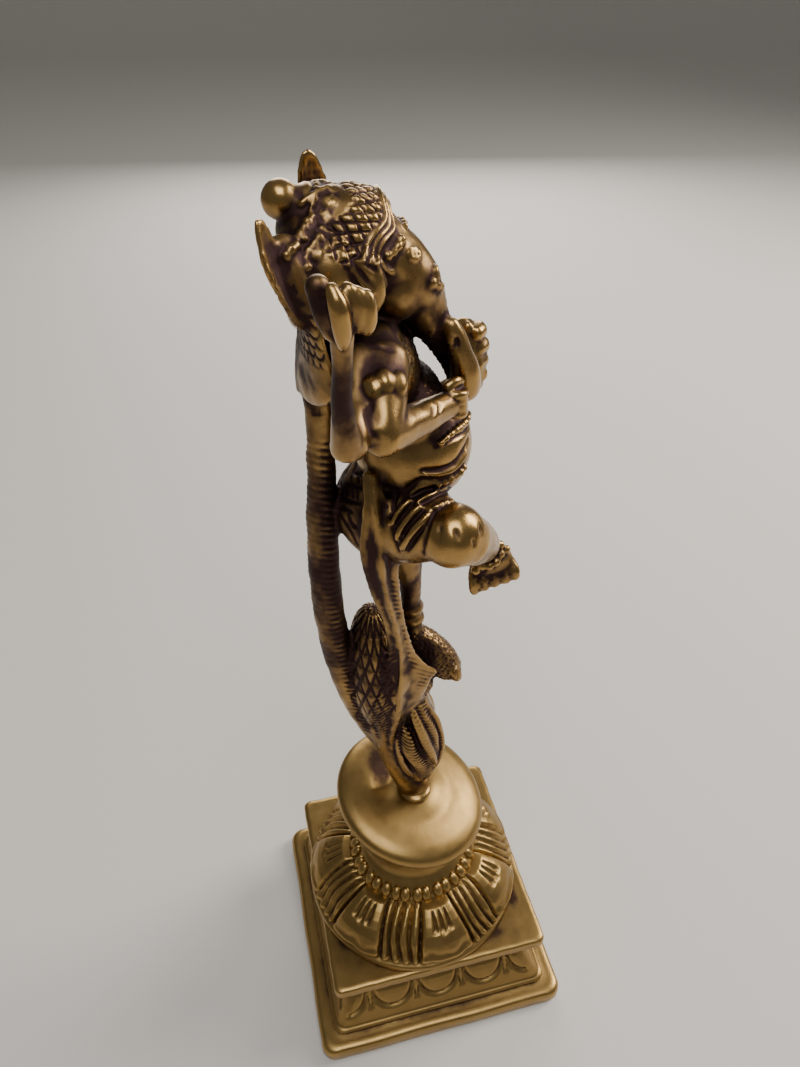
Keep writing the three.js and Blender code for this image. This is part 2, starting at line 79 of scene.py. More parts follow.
class Clay:
    """Closed shells gathered into one mesh, later melted into a single skin."""

    def __init__(self):
        self.v, self.f, self.n = [], [], 0

    def add(self, v, f):
        v = np.asarray(v, float)
        self.v.append(v)
        self.f += [tuple(int(i) + self.n for i in q) for q in f]
        self.n += len(v)

    def rings(self, P):
        rows, sides = P.shape[:2]
        v = np.vstack([P.reshape(-1, 3), P[0].mean(0), P[-1].mean(0)])
        f = []
        for r in range(rows - 1):
            for s in range(sides):
                t = (s + 1) % sides
                f.append((r * sides + s, r * sides + t, (r + 1) * sides + t, (r + 1) * sides + s))
        for s in range(sides):
            t = (s + 1) % sides
            f.append((rows * sides, t, s))
            f.append((rows * sides + 1, (rows - 1) * sides + s, (rows - 1) * sides + t))
        c = v[:-2].mean(0)
        q = np.array([v[list(x[:3])] for x in f])
        vol = np.einsum("ij,ij->i", q[:, 0] - c, np.cross(q[:, 1] - c, q[:, 2] - c)).sum()
        self.add(v, f if vol > 0 else [x[::-1] for x in f])

    def limb(self, stations, sides=20, per=7, ref=(1, 0, 0), cap=0.6, square=1.0):
        """Round or flattened limb along [x, y, z, radius, across]."""
        st = [list(s) + [1.0] * (5 - len(s)) for s in stations]
        c = smooth_path(st, per)
        T = np.gradient(c[:, :3], axis=0)
        T /= np.maximum(np.linalg.norm(T, axis=1)[:, None], 1e-9)
        R = unit(ref)
        N = R - (T @ R)[:, None] * T
        N /= np.maximum(np.linalg.norm(N, axis=1)[:, None], 1e-9)
        B = np.cross(T, N)
        a = np.linspace(0, 2 * np.pi, sides, endpoint=False)
        ca, sa = np.cos(a), np.sin(a)
        if square != 1.0:
            ca = np.sign(ca) * np.abs(ca) ** square
            sa = np.sign(sa) * np.abs(sa) ** square

        def ring(i, scale, shift):
            r = max(0.05, c[i, 3]) * scale
            return c[i, :3] + T[i] * shift + r * c[i, 4] * ca[:, None] * N[i] + r * sa[:, None] * B[i]

        out = []
        for e in (1.0, 0.8, 0.45):
            out.append(ring(0, math.sqrt(max(0.0, 1 - e * e)) + 1e-3, -cap * c[0, 3] * e))
        out += [ring(i, 1.0, 0.0) for i in range(len(c))]
        for e in (0.45, 0.8, 1.0):
            out.append(ring(-1, math.sqrt(max(0.0, 1 - e * e)) + 1e-3, cap * c[-1, 3] * e))
        self.rings(np.array(out))

    def ball(self, c, r, rot=(0, 0, 0), sides=24, rows=14):
        r = np.array(r if hasattr(r, "__len__") else (r, r, r), float)
        a = np.linspace(0, 2 * np.pi, sides, endpoint=False)
        h = np.linspace(-np.pi / 2 + 0.02, np.pi / 2 - 0.02, rows)
        P = np.stack([np.cos(h)[:, None] * np.cos(a), np.cos(h)[:, None] * np.sin(a), np.sin(h)[:, None] + 0 * a], -1)
        P = P * r
        e = [math.radians(v) for v in rot]
        M = (Matrix.Rotation(e[2], 3, "Z") @ Matrix.Rotation(e[1], 3, "Y") @ Matrix.Rotation(e[0], 3, "X"))
        self.rings(P @ np.array(M).T + np.asarray(c, float))

    def oriented(self, c, r, n, up=(0, 0, 1), sides=12, rows=8):
        """Ellipsoid whose third radius lies along n."""
        n = unit(n)
        u = np.cross(up, n)
        u = unit(u if np.linalg.norm(u) > 1e-4 else np.cross((1, 0, 0), n))
        w = np.cross(n, u)
        a = np.linspace(0, 2 * np.pi, sides, endpoint=False)
        h = np.linspace(-np.pi / 2 + 0.03, np.pi / 2 - 0.03, rows)
        x = np.cos(h)[:, None] * np.cos(a) * r[0]
        y = np.cos(h)[:, None] * np.sin(a) * r[1]
        z = np.sin(h)[:, None] * r[2] + 0 * a
        self.rings(x[..., None] * u + y[..., None] * w + z[..., None] * n + np.asarray(c, float))

    def beads(self, path, r, gap, skin=None, sink=0.25):
        """A string of beads along a path, laid on the skin when one is given."""
        c = smooth_path(path, 10)[:, :3]
        if skin is not None:
            c = np.array([skin.near(q)[0] for q in c])
        s = np.append(0, np.cumsum(np.linalg.norm(np.diff(c, axis=0), axis=1)))
        n = max(2, int(round(s[-1] / gap)) + 1)
        for t in np.linspace(0, s[-1], n):
            q = np.array([np.interp(t, s, c[:, k]) for k in range(3)])
            if skin is not None:
                q, nrm = skin.near(q)
                q = q + nrm * r * (0.5 - sink)
            k = r * (1 + 0.10 * math.sin(t * 7.3))
            self.ball(q, (k, k, k), sides=10, rows=7)

    def cordline(self, path, r, skin, lift=0.0, flat=1.0, per=8):
        """A raised line lying on the skin."""
        c = smooth_path(path, per)[:, :3]
        pts, nr = [], []
        for q in c:
            p, n = skin.near(q)
            pts.append(p + n * lift)
            nr.append(n)
        pts = np.array(pts)
        st = [list(p) + [r, flat] for p in pts]
        self.limb(st, sides=8, per=1, ref=np.cross(unit(pts[-1] - pts[0]), np.mean(nr, 0)), cap=0.8)

    def arrays(self):
        return np.vstack(self.v), self.f


class Skin:
    """Nearest point and ray questions against a mesh."""

    def __init__(self, v, f):
        self.tree = BVHTree.FromPolygons([tuple(q) for q in v], f)

    def near(self, q):
        p, n, _, _ = self.tree.find_nearest(Vector(q))
        return np.array(p), np.array(n)

    def shoot(self, o, d):
        p, n, _, _ = self.tree.ray_cast(Vector(o), Vector(d))
        return (None, None) if p is None else (np.array(p), np.array(n))


def to_mesh(name, v, f):
    me = bpy.data.meshes.new(name)
    me.from_pydata([tuple(q) for q in v], [], f)
    me.validate()
    me.update()
    return me


def mesh_arrays(me):
    n = len(me.vertices)
    v = np.empty(n * 3)
    me.vertices.foreach_get("co", v)
    nrm = np.empty(n * 3)
    me.vertex_normals.foreach_get("vector", nrm)
    return v.reshape(-1, 3), nrm.reshape(-1, 3)


def polygons(me):
    return [tuple(p.vertices) for p in me.polygons]


def applied(me, mods):
    """The mesh after these modifiers."""
    ob = bpy.data.objects.new("clay_tmp", me)
    bpy.context.scene.collection.objects.link(ob)
    for kind, settings in mods:
        m = ob.modifiers.new(kind.lower(), kind)
        for k, val in settings.items():
            setattr(m, k, val)
    dg = bpy.context.evaluated_depsgraph_get()
    out = bpy.data.meshes.new_from_object(ob.evaluated_get(dg))
    bpy.data.objects.remove(ob)
    return out


def melt(v, f, voxel, rounds):
    me = to_mesh("clay", v, f)
    return applied(me, [("REMESH", {"mode": "VOXEL", "voxel_size": voxel, "adaptivity": 0.0}), ("SMOOTH", {"factor": 0.5, "iterations": rounds})])


def edges_of(me):
    e = np.empty(len(me.edges) * 2, dtype=np.int64)
    me.edges.foreach_get("vertices", e)
    return e.reshape(-1, 2)


def averaged(vals, e, rounds):
    n = len(vals)
    deg = np.bincount(e.ravel(), minlength=n).astype(float)
    deg[deg == 0] = 1
    x = vals.copy()
    for _ in range(rounds):
        cols = []
        for k in range(x.shape[1]):
            cols.append(np.bincount(e[:, 0], weights=x[e[:, 1], k], minlength=n) + np.bincount(e[:, 1], weights=x[e[:, 0], k], minlength=n))
        x = 0.5 * x + 0.5 * np.stack(cols, 1) / deg[:, None]
    return x


def along(V, path, reach):
    """For the vertices within reach of a path: which, distance along it, distance from it, nearest centre, tangent."""
    c = np.asarray(path, float)[:, :3]
    lo, hi = c.min(0) - reach, c.max(0) + reach
    idx = np.where(((V > lo) & (V < hi)).all(1))[0]
    if len(idx) == 0:
        return idx, None, None, None, None
    a, b = c[:-1], c[1:]
    ab = b - a
    L = np.linalg.norm(ab, axis=1)
    s0 = np.append(0, np.cumsum(L))[:-1]
    best = np.full(len(idx), 1e9)
    S = np.zeros(len(idx))
    C = np.zeros((len(idx), 3))
    T = np.zeros((len(idx), 3))
    W = V[idx]
    for k in range(len(a)):
        t = np.clip(((W - a[k]) @ ab[k]) / (L[k] ** 2 + 1e-12), 0, 1)
        q = a[k] + t[:, None] * ab[k]
        d = np.linalg.norm(W - q, axis=1)
        m = d < best
        best[m] = d[m]
        S[m] = (s0[k] + t * L[k])[m]
        C[m] = q[m]
        T[m] = ab[k] / (L[k] + 1e-9)
    keep = best < reach
    return idx[keep], S[keep], best[keep], C[keep], T[keep]


def smoothstep(a, b, x):
    t = np.clip((np.asarray(x, float) - a) / (b - a), 0, 1)
    return t * t * (3 - 2 * t)


def stroke(D, V, path, width, depth, per=6, taper=0.25):
    """Adds a cut (negative) or raised (positive) line to the displacement D."""
    c = smooth_path(path, per)[:, :3]
    idx, S, d, _, _ = along(V, c, width * 2.2)
    if len(idx) == 0:
        return
    L = np.linalg.norm(np.diff(c, axis=0), axis=1).sum()
    e = np.clip(np.minimum(S, L - S) / max(1e-6, taper * L), 0, 1) ** 0.5 if taper else 1.0
    k = depth * (0.35 + 0.65 * e) * np.exp(-((d / (width * 0.5)) ** 2))
    if depth < 0:
        D[idx] = np.minimum(D[idx], k)
    else:
        D[idx] = np.maximum(D[idx], k)


# ------------------------------------------------------------------ the figure: main forms
HEAD_C, HEAD_R = np.array([0, 12.2, 229.4]), (9.2, 7.6, 9.6)
ROD = [[0, 7.4, 96, 3.0], [0, 11.2, 104, 3.1], [0, 15.2, 115, 3.25], [0, 18.1, 127, 3.4], [0, 20.0, 140, 3.5],
       [0, 20.9, 157, 3.5], [0, 20.6, 173, 3.3], [0, 19.8, 187, 2.9], [0, 19.2, 200, 2.8], [0, 20.6, 212, 2.2]]
# courses down the sash: back edge, ridge, front edge
SASH_ROWS = [[-7.6, 13.2, 190.0, -9.2, 11.6, 191.2, -8.8, 9.6, 189.6], [-11.2, 13.9, 185.6, -13.0, 11.9, 186.4, -11.8, 9.2, 184.9], [-12.4, 15.2, 175.6, -14.4, 11.4, 176.4, -12.6, 7.6, 174.1],
             [-12.1, 14.4, 168.6, -14.1, 11.2, 169.7, -12.1, 7.1, 167.0], [-11.0, 12.6, 160.3, -13.1, 10.0, 161.6, -11.0, 6.4, 158.9],
             [-9.7, 10.2, 150.9, -11.9, 8.2, 152.6, -9.7, 4.9, 149.7], [-8.6, 9.4, 141.6, -10.6, 7.0, 143.1, -8.6, 2.7, 139.9],
             [-9.0, 9.9, 137.0, -10.2, 7.0, 138.5, -8.0, -0.4, 134.1], [-8.9, 10.2, 134.9, -10.0, 7.0, 136.4, -7.6, -3.0, 131.0],
             [-8.8, 10.8, 132.2, -10.2, 7.0, 133.6, -7.3, -1.8, 128.4], [-8.6, 12.0, 127.4, -10.0, 6.9, 128.2, -6.5, -0.5, 123.3],
             [-7.9, 12.4, 118.5, -9.2, 7.1, 119.2, -5.6, 2.7, 115.4], [-6.0, 11.2, 108.3, -7.8, 8.2, 110.2, -4.5, 5.1, 106.3],
             [-4.3, 9.5, 97.9, -5.6, 7.8, 100.2, -3.5, 5.9, 97.0], [-2.2, 5.6, 86.1, -4.4, 5.0, 89.0, -2.4, 3.2, 85.7],
             [-1.2, 4.3, 81.4, -3.2, 4.0, 83.4, -1.4, 2.2, 80.8]]
OVAL = np.array([0, 11.0, 128.0])
HOOD_TURN = math.radians(26)
HOOD_LOW, HOOD_HIGH = 204.5, 232.3
CROWN_A, CROWN_B = np.array([0, 10.0, 229.5]), np.array([0, 21.6, 237.0])


def flipped(path):
    return [[-q[0], *q[1:]] for q in path]


def hood_point(s, t):
    """Middle surface of the spread hood: s -1..1 across, t 0..1 up. The sides wrap forward."""
    z = HOOD_LOW + (HOOD_HIGH - HOOD_LOW) * t
    half = 14.2 * math.sqrt(max(0.0, 1 - (1 - min(1.0, t / 0.22)) ** 2)) * (1 - max(0.0, 2 * t - 1) ** 2) ** 0.2
    k = (z - 198.8) / 33.5
    a = -HOOD_TURN * k * k
    x, y = half * math.sin(1.25 * s) / math.sin(1.25), -(4.6 - 1.6 * t) * abs(s) ** 2.2 * min(1, 0.4 + 3 * t)
    y0 = float(np.interp(t, [0, 0.1, 0.45, 0.74, 0.88, 1], [21.9, 21.8, 20.6, 19.9, 20.6, 22.2]))
    return np.array([x * math.cos(a) - y * math.sin(a), y0 + x * math.sin(a) + y * math.cos(a), z])


def sash_sections(per=6):
    return smooth_path(SASH_ROWS, per)


def leaf(k, line, across, half):
    """A hollowed leaf with a raised rim, standing along a line."""
    c = smooth_path(line, 6)[:, :3]
    across = unit(across)
    n = unit(np.cross(unit(c[-1] - c[0]), across))
    if n[0] > 0:
        n = -n
    st, left, right = [], [], []
    for i, q in enumerate(c):
        t = i / (len(c) - 1)
        w = half * math.sin(math.pi * (0.16 + 0.80 * t)) ** 0.62
        st.append([*(q - n * 0.45), 0.62, w / 0.62])
        left.append([*(q + across * w), 0.55])
        right.append([*(q - across * w), 0.55])
    tip = [*(c[-1] + unit(c[-1] - c[0]) * 0.5), 0.55]
    k.limb(st, ref=across, per=2, cap=0.7)
    k.limb(left + [tip] + right[::-1], sides=12, per=2)


def build_forms():
    k = Clay()
    # serpent support
    k.limb([[1.4, 0.8, 73.9, 4.8], [1.4, 0.8, 77, 4.2]], cap=0.02)
    k.limb([[1.6, 0.4, 76, 3.8], [1.0, 0.2, 82, 3.9, 1.1], [0, -0.2, 88, 4.7, 1.45], [0, -0.4, 94, 5.5, 1.5], [0, -0.2, 101, 5.6, 1.5], [0, 0.4, 108, 5.0, 1.5], [0, 1.4, 116, 3.8, 1.4]])
    k.limb([[1.2, 2.0, 77, 3.8, 1.1], [0, 4.6, 88, 4.4, 1.2], [0, 7.6, 100, 4.6, 1.2], [0, 10.5, 111, 5, 1.2]])
    k.ball(OVAL, (9, 6.3, 20.2), sides=32, rows=24)
    k.limb([[0, 9.5, 117, 5.2, 1.3], [0.5, 4, 119.5, 5.4, 1.4], [1, -0.8, 122, 4.4, 1.3]])
    k.limb(ROD, per=6)
    # sash: a long folded leaf with a ridge, forked at the foot
    P = []
    for q in sash_sections():
        L, M, R = q[0:3], q[3:6], q[6:9]
        o, b = np.array([-1, 0, 0.15]), np.array([1, 0, -0.1])
        mix = lambda u, w, t: u * (1 - t) + w * t
        P.append([L, mix(L, M, 0.25) + o * 0.25, mix(L, M, 0.62) - o * 0.75, M + o * 0.2, mix(M, R, 0.34) - o * 0.55, mix(M, R, 0.74) - o * 0.1, R,
                  R + b * 0.9, mix(R, M, 0.5) + b * 2.2, M + b * 2.8, mix(M, L, 0.5) + b * 2.2, L + b * 0.9])
    k.rings(np.array(P))
    # hood blade: a thin curved shell
    rows, sides = 26, 44
    P = np.zeros((rows, sides, 3))
    for i in range(rows):
        t = 0.004 + 0.986 * i / (rows - 1)
        for j in range(sides):
            a = 2 * math.pi * j / sides
            s = math.cos(a)
            q = hood_point(s, t)
            g = hood_point(min(1.0, s + 0.04), t) - hood_point(max(-1.0, s - 0.04), t)
            n = unit(np.array([-g[1], g[0], -0.1 * abs(g[0])]))
            rim = 1.0 + 0.35 * max(0.0, abs(s) - 0.75) / 0.25
            P[i, j] = q + n * 1.15 * rim * math.sin(a)
    k.rings(P)
    leaf(k, [[-12.2, 21.8, 222.0], [-12.6, 24.2, 228], [-12.2, 25.9, 233], [-11.8, 27.0, 237.6]], (0.80, -0.60, 0), 2.3)
    k.limb([[-11.4, 19.6, 220, 2.0], [-11.0, 21.4, 225, 2.6], [-9.8, 23.0, 229.6, 2.8], [-8.0, 24.0, 233.4, 2.2]])
    k.limb([[11.4, 15.0, 220, 2.0], [11.0, 15.8, 226, 2.6], [9.8, 17.2, 231.0, 2.6], [8.0, 18.6, 234.6, 2.2]])
    leaf(k, [[12.4, 14.6, 224.5], [11.6, 15.4, 231], [10.9, 16.0, 237], [10.5, 16.5, 241.2]], (0.36, -0.93, 0), 2.7)
    # torso
    k.ball((0, 6.6, 176.5), (12.4, 11.2, 11.4), sides=32, rows=20)
    k.ball((0, 1.6, 191), (12.6, 11.6, 12.4), sides=32, rows=20)
    k.ball((0, 9, 207), (12, 8.4, 10.6), sides=32, rows=20)
    k.ball((0, 3.4, 198.5), (11, 8.2, 9.5), sides=32, rows=20)
    k.limb([[-13, 10.2, 213.5, 4.4], [0, 10, 213, 6.2], [13, 10.2, 213.5, 4.4]], ref=(0, 1, 0))
    k.limb([[0, 11.6, 211, 5.8], [0, 12.6, 222, 5.6]])
    # standing leg
    k.limb([[5.5, 5.5, 174, 7.6], [4.8, 4, 166, 6.6], [3.6, 2.4, 158, 4.4], [3, 1.3, 151, 2.7], [3, 1.0, 143, 2.4]])
    k.limb([[3, 0.9, 146, 2.3], [3.1, 0.8, 140, 2.5], [3.2, 0.5, 133, 2.6]])
    for z, r in ((143.4, 3.2), (140.2, 3.3)):
        k.limb([[3, 0.9, z + 0.8, r - 0.3], [3, 0.9, z, r], [3, 0.9, z - 0.8, r - 0.3]], cap=0.3)
    k.limb([[4.2, 2.4, 134.6, 2.7], [2.8, -1.0, 131.8, 4.0], [1.4, -4.2, 128.0, 4.5, 0.95], [0.4, -6.7, 125.0, 4.3, 0.95], [0.0, -7.9, 123.4, 3.7, 0.95]], ref=(0, 0.4, 1), cap=0.8)
    for i in range(5):
        u = (i - 2) / 2
        k.limb([[1.0 + 2.5 * u, -6.6, 126.2, 1.5], [0.2 + 3.3 * u, -9.4 + 0.7 * abs(u), 124.4, 1.65], [0.0 + 3.4 * u, -10.0 + 0.8 * abs(u), 122.6, 1.3]], sides=12, cap=0.8)
    # raised leg
    k.limb([[-4, 6.5, 176.5, 9.2], [-9, 4.6, 178.6, 8.6], [-14.5, 1.6, 180.4, 7.2], [-16.6, 0.4, 180.8, 6.2]], ref=(0, 0, 1))
    k.ball((-18.4, -1.6, 180.8), (6.3, 6.3, 6.3), sides=32, rows=20)
    k.limb([[-18.8, -3.2, 180.2, 5.4], [-14, -7.2, 174.8, 4.9], [-9.5, -10.6, 170, 4.0], [-6, -12.6, 166.6, 3.2]], ref=(0, 0, 1))
    k.limb([[-3.8, -11.8, 166.6, 2.4, 1.1], [-5.8, -13.2, 164.4, 2.9, 1.35], [-7.0, -14.2, 162.2, 2.7, 1.85], [-7.2, -14.4, 160.6, 2.2, 2.1]], ref=(0, 1, 0))
    for i in range(5):
        u = (i - 2) / 2
        k.limb([[-7.4, -14.4 + 4.3 * u, 161.6 - 0.3 * u, 1.15], [-8.9, -14.5 + 4.6 * u, 159.4 - 0.9 * u, 1.3], [-9.3, -14.6 + 4.6 * u, 157.7 - 1.2 * u, 1.05]], sides=12, cap=0.9)
    # arms
    front = [[-11.5, 9.5, 214, 4.6], [-17.5, 11.2, 210.8, 4.2], [-22.4, 12.6, 206.6, 3.7]]
    rear = [[-11.5, 12.5, 214, 4.4], [-19, 16, 209.4, 3.7], [-26.0, 18.2, 207.8, 3.0]]
    k.limb(front, ref=(0, 0, 1))
    k.limb([[-22.6, 12.6, 206.6, 3.6], [-16, 5.2, 204.8, 3.2], [-9.6, -2.6, 203.4, 2.4]], ref=(0, 0, 1))
    k.ball((-8.6, -3.9, 203.6), (2.3, 2.4, 3.0))
    k.limb(rear, ref=(0, 0, 1))
    k.limb([[-26.2, 18.6, 207.6, 2.7], [-28.0, 19.0, 212.0, 2.1], [-29.6, 19.4, 218, 1.65], [-31.2, 19.4, 224, 1.55], [-32.6, 19.4, 229, 1.7]], ref=(1, 0, 0))
    k.limb([[11.5, 9.5, 214, 4.6], [17, 10.5, 208.5, 4.1], [20.5, 8, 201.5, 3.6]], ref=(0, 0, 1))
    k.limb([[20.5, 8, 201.2, 3.4], [18.8, 0.4, 193.6, 2.9], [14.6, -7.2, 192.2, 2.5], [10.4, -11.0, 196.4, 2.2]], ref=(0, 0, 1))
    k.limb(flipped(rear), ref=(0, 0, 1))
    k.limb([[26.2, 18.2, 207.4, 3.0], [28.6, 17, 213.5, 2.4], [30.2, 14.8, 219.5, 2.0], [30.8, 13.8, 223.6, 2.0]], ref=(1, 0, 0))
    # head, brow and trunk
    k.ball(HEAD_C, HEAD_R, sides=36, rows=24)
    k.limb([[0, 12.0, 230.4, 8.2, 1.0], [0, 8.2, 227.8, 6.9, 1.05], [0, 4.4, 225.0, 6.0, 1.1], [0, 1.6, 221.6, 5.3, 1.1], [0, 0.2, 217.8, 3.8, 1.1]], sides=28)
    k.limb([[0, 0.2, 219.2, 4.7], [0, -2.0, 214.6, 3.6], [0, -4.4, 210.6, 2.9], [0, -6.6, 206.6, 2.7], [-0.4, -7.6, 203.2, 2.6], [-1.8, -8.2, 201.6, 2.5]])
    k.limb([[-1.2, -8.0, 202.2, 2.5], [-2.8, -8.0, 202.6, 2.7], [-3.8, -7.5, 206.0, 2.8], [-3.9, -6.5, 209.6, 2.35], [-3.6, -5.2, 213.2, 2.1], [-3.4, -4.2, 215.8, 1.5]])
    k.ball((0, 5.0, 222.6), (7.2, 6.4, 6.2))
    for s in (-1, 1):
        k.ball((s * 9.2, 12.8, 226.2), (4.8, 2.2, 5.8), rot=(0, 0, -s * 58))
        k.ball((s * 7.6, 17.2, 227.4), (4.8, 5.2, 6.2))
    # crown and the mass behind it
    k.limb([[0, 12.0, 230.8, 8.6], [0, 16.4, 233.6, 6.4], [0, 19.6, 235.8, 4.0], [0, 21.6, 236.9, 2.8]], sides=28)
    k.ball((0, 19.6, 231.8), (9.6, 4.2, 4.8), sides=28, rows=16)
    return k


def build_figure():
    forms = build_forms()
    v, f = forms.arrays()
    soft = melt(v, f, 0.5, 6)
    sv, _ = mesh_arrays(soft)
    skin = Skin(sv, polygons(soft))
    d = Clay()
    add_details(d, skin)
    dv, df = d.arrays()
    n = len(sv)
    allv = np.vstack([sv, dv])
    allf = polygons(soft) + [tuple(i + n for i in q) for q in df]
    fine = melt(allv, allf, VOXEL, 2)
    V, N = mesh_arrays(fine)
    D = relief(V, N)
    V = V + N * D[:, None]
    fine.vertices.foreach_set("co", V.ravel())
    fine.update()
    fine = applied(fine, [("SMOOTH", {"factor": 0.35, "iterations": 1})])
    tris = sum(len(p.vertices) - 2 for p in fine.polygons)
    out = applied(fine, [("DECIMATE", {"ratio": min(1.0, 190000 / tris)})])
    V, N = mesh_arrays(out)
    V[:, 2] = np.maximum(V[:, 2], 73.72)
    out.vertices.foreach_set("co", V.ravel())
    out.update()
    return out


VOXEL = 0.27

# Courses of the chased and cast ornament on the figure, in millimetres.
LINES = {
    "crown_beads": [
        [[-5.0, 4.9, 231.2], [-6.3, 6.0, 230.2], [-7.2, 7.5, 229.7]],
    ],
    "crown_ridges": [
        [[-3.3, 19.8, 237.3], [-2.7, 17.8, 238.3], [-1.4, 15.4, 238.8]],
        [[-5.0, 18.9, 232.4], [-6.1, 17.6, 231.7], [-7.3, 15.9, 232.8], [-7.8, 14.4, 233.5]],
        [[-7.3, 16.7, 229.6], [-8.1, 15.5, 231.3], [-8.9, 14.1, 232.2]],
        [[-9.0, 15.4, 229.4], [-9.9, 14.6, 231.2], [-10.7, 13.8, 232.0]],
    ],
    "back_band": [
        [[-9.6, 23.6, 231.4], [-8.8, 22.2, 233.2], [-7.4, 20.2, 235.2], [-5.4, 18.6, 236.6]],
        [[-9.8, 21.6, 229.4], [-9.2, 20.0, 231.6], [-8.2, 18.2, 233.4]],
    ],
    "ear_folds": [
        [[-11.0, 14.0, 229.7], [-11.0, 11.0, 226.0]],
        [[-10.5, 12.6, 230.3], [-10.5, 9.3, 226.3]],
        [[-9.6, 10.9, 229.8], [-9.6, 7.8, 226.4]],
        [[-8.6, 9.1, 229.3], [-8.6, 6.6, 226.9]],
    ],
    "belly_beads": [
        [[-10.9, -0.9, 196.5], [-9.3, -3.4, 197.2], [-6.1, -6.8, 197.0], [-1.3, -8.9, 195.9]],
        [[-12.1, -0.2, 188.4], [-11.5, -2.3, 188.5], [-10.2, -4.6, 188.7], [-9.1, -6.2, 189.2]],
    ],
    "belly_cuts": [
        [[-11.3, 0.1, 196.0], [-9.7, -3.8, 196.4], [-5.8, -7.7, 195.5], [-2.2, -9.2, 194.7]],
        [[-12.4, 3.0, 192.2], [-12.3, -0.5, 191.8], [-11.2, -3.4, 191.9], [-9.2, -6.0, 193.1], [-6.7, -7.7, 194.2]],
        [[-11.5, 5.4, 188.0], [-12.3, 3.3, 190.0], [-12.5, 1.1, 190.2]],
        [[-13.2, 5.3, 186.9], [-12.5, 2.4, 187.7], [-11.9, -0.7, 187.7], [-11.3, -2.8, 188.6]],
        [[-15.6, 5.1, 186.3], [-15.0, 2.1, 187.2], [-12.4, -1.3, 186.3], [-7.6, -4.6, 183.9]],
    ],
    "belly_ridges": [
        [[-12.5, 2.4, 191.3], [-12.1, -1.3, 190.6], [-10.7, -4.4, 190.8], [-8.5, -6.8, 192.1]],
        [[-12.2, 4.8, 187.3], [-12.3, 2.5, 188.7], [-12.2, 0.2, 189.0]],
        [[-14.9, 4.4, 186.8], [-13.7, 1.4, 187.3], [-11.0, -2.1, 186.2]],
    ],
    "knee_hem": [
        [[-17.0, 1.2, 186.6], [-19.0, 3.2, 185.2], [-20.4, 4.5, 182.4], [-20.2, 4.6, 178.7]],
    ],
    "knee_hem_beads": [
        [[-15.6, -1.9, 186.4], [-16.2, -0.2, 186.7], [-16.9, 1.5, 186.6]],
    ],
    "knee_marks": [
        [[-22.6, -0.6, 185.6], [-23.6, -0.9, 183.4]],
        [[-23.8, -3.8, 183.8], [-24.3, -4.1, 182.0]],
        [[-20.8, 1.6, 185.4], [-22.2, 1.9, 183.4]],
        [[-21.4, -5.8, 184.6], [-22.6, -5.9, 183.4]],
    ],
    "dhoti_cuts": [
        [[-12.7, 6.5, 186.5], [-13.4, 8.2, 185.3], [-14.0, 9.3, 184.0]],
        [[-14.6, 5.0, 186.7], [-15.7, 7.8, 184.4], [-15.9, 9.4, 181.7]],
        [[-16.7, 3.7, 186.4], [-17.6, 6.6, 183.9], [-17.3, 8.6, 180.0]],
        [[-19.1, 3.6, 184.9], [-19.2, 5.9, 182.2], [-18.2, 7.3, 178.4]],
        [[-10.5, 7.3, 186.8], [-14.1, 8.9, 184.3], [-16.2, 9.3, 181.3], [-17.0, 8.5, 177.7]],
    ],
    "dhoti_ridges": [
        [[-13.6, 5.8, 186.6], [-14.6, 8.1, 184.8], [-15.0, 9.4, 183.0]],
        [[-15.8, 4.4, 186.5], [-16.7, 7.1, 184.3], [-16.8, 8.9, 180.9]],
        [[-18.0, 3.5, 185.7], [-18.5, 6.2, 183.1], [-17.8, 8.0, 179.2]],
    ],
    "hip_cuts": [
        [[0.0, 13.7, 185.3], [-3.1, 12.1, 186.8]],
        [[-2.1, 14.8, 184.0], [-4.8, 12.9, 184.8]],
        [[-0.8, 17.3, 181.2], [-4.1, 15.6, 181.9], [-6.7, 13.7, 182.7]],
        [[-3.0, 17.2, 178.5], [-6.6, 16.0, 176.5], [-7.6, 14.7, 173.2]],
        [[-5.4, 16.0, 180.0], [-7.5, 15.3, 178.0], [-11.0, 14.9, 179.0]],
        [[-2.4, 17.0, 179.8], [-6.3, 15.3, 180.5]],
    ],
    "hip_ticks": [
        [[0.8, 15.9, 182.7], [-1.2, 16.3, 182.0]],
        [[-1.3, 15.2, 183.5], [-3.1, 15.6, 182.5]],
        [[-2.9, 14.5, 184.0], [-4.9, 14.8, 182.8]],
        [[-4.2, 13.8, 184.3], [-6.0, 14.0, 183.0]],
        [[4.5, 14.6, 183.3], [1.5, 15.3, 183.4]],
        [[-0.3, 14.0, 185.0], [-2.1, 14.3, 184.4]],
        [[-2.0, 12.9, 185.7], [-3.8, 13.3, 184.9]],
    ],
    "arm_cuts": [
        [[-21.5, 13.7, 212.1], [-23.3, 14.8, 210.9], [-24.8, 14.6, 209.6], [-25.1, 13.3, 208.0]],
        [[-13.2, 11.7, 217.8], [-14.8, 8.5, 217.1]],
        [[-13.6, 0.3, 206.4], [-15.8, 0.9, 205.8]],
        [[-15.1, 1.8, 206.8], [-17.2, 2.5, 206.2]],
    ],
}

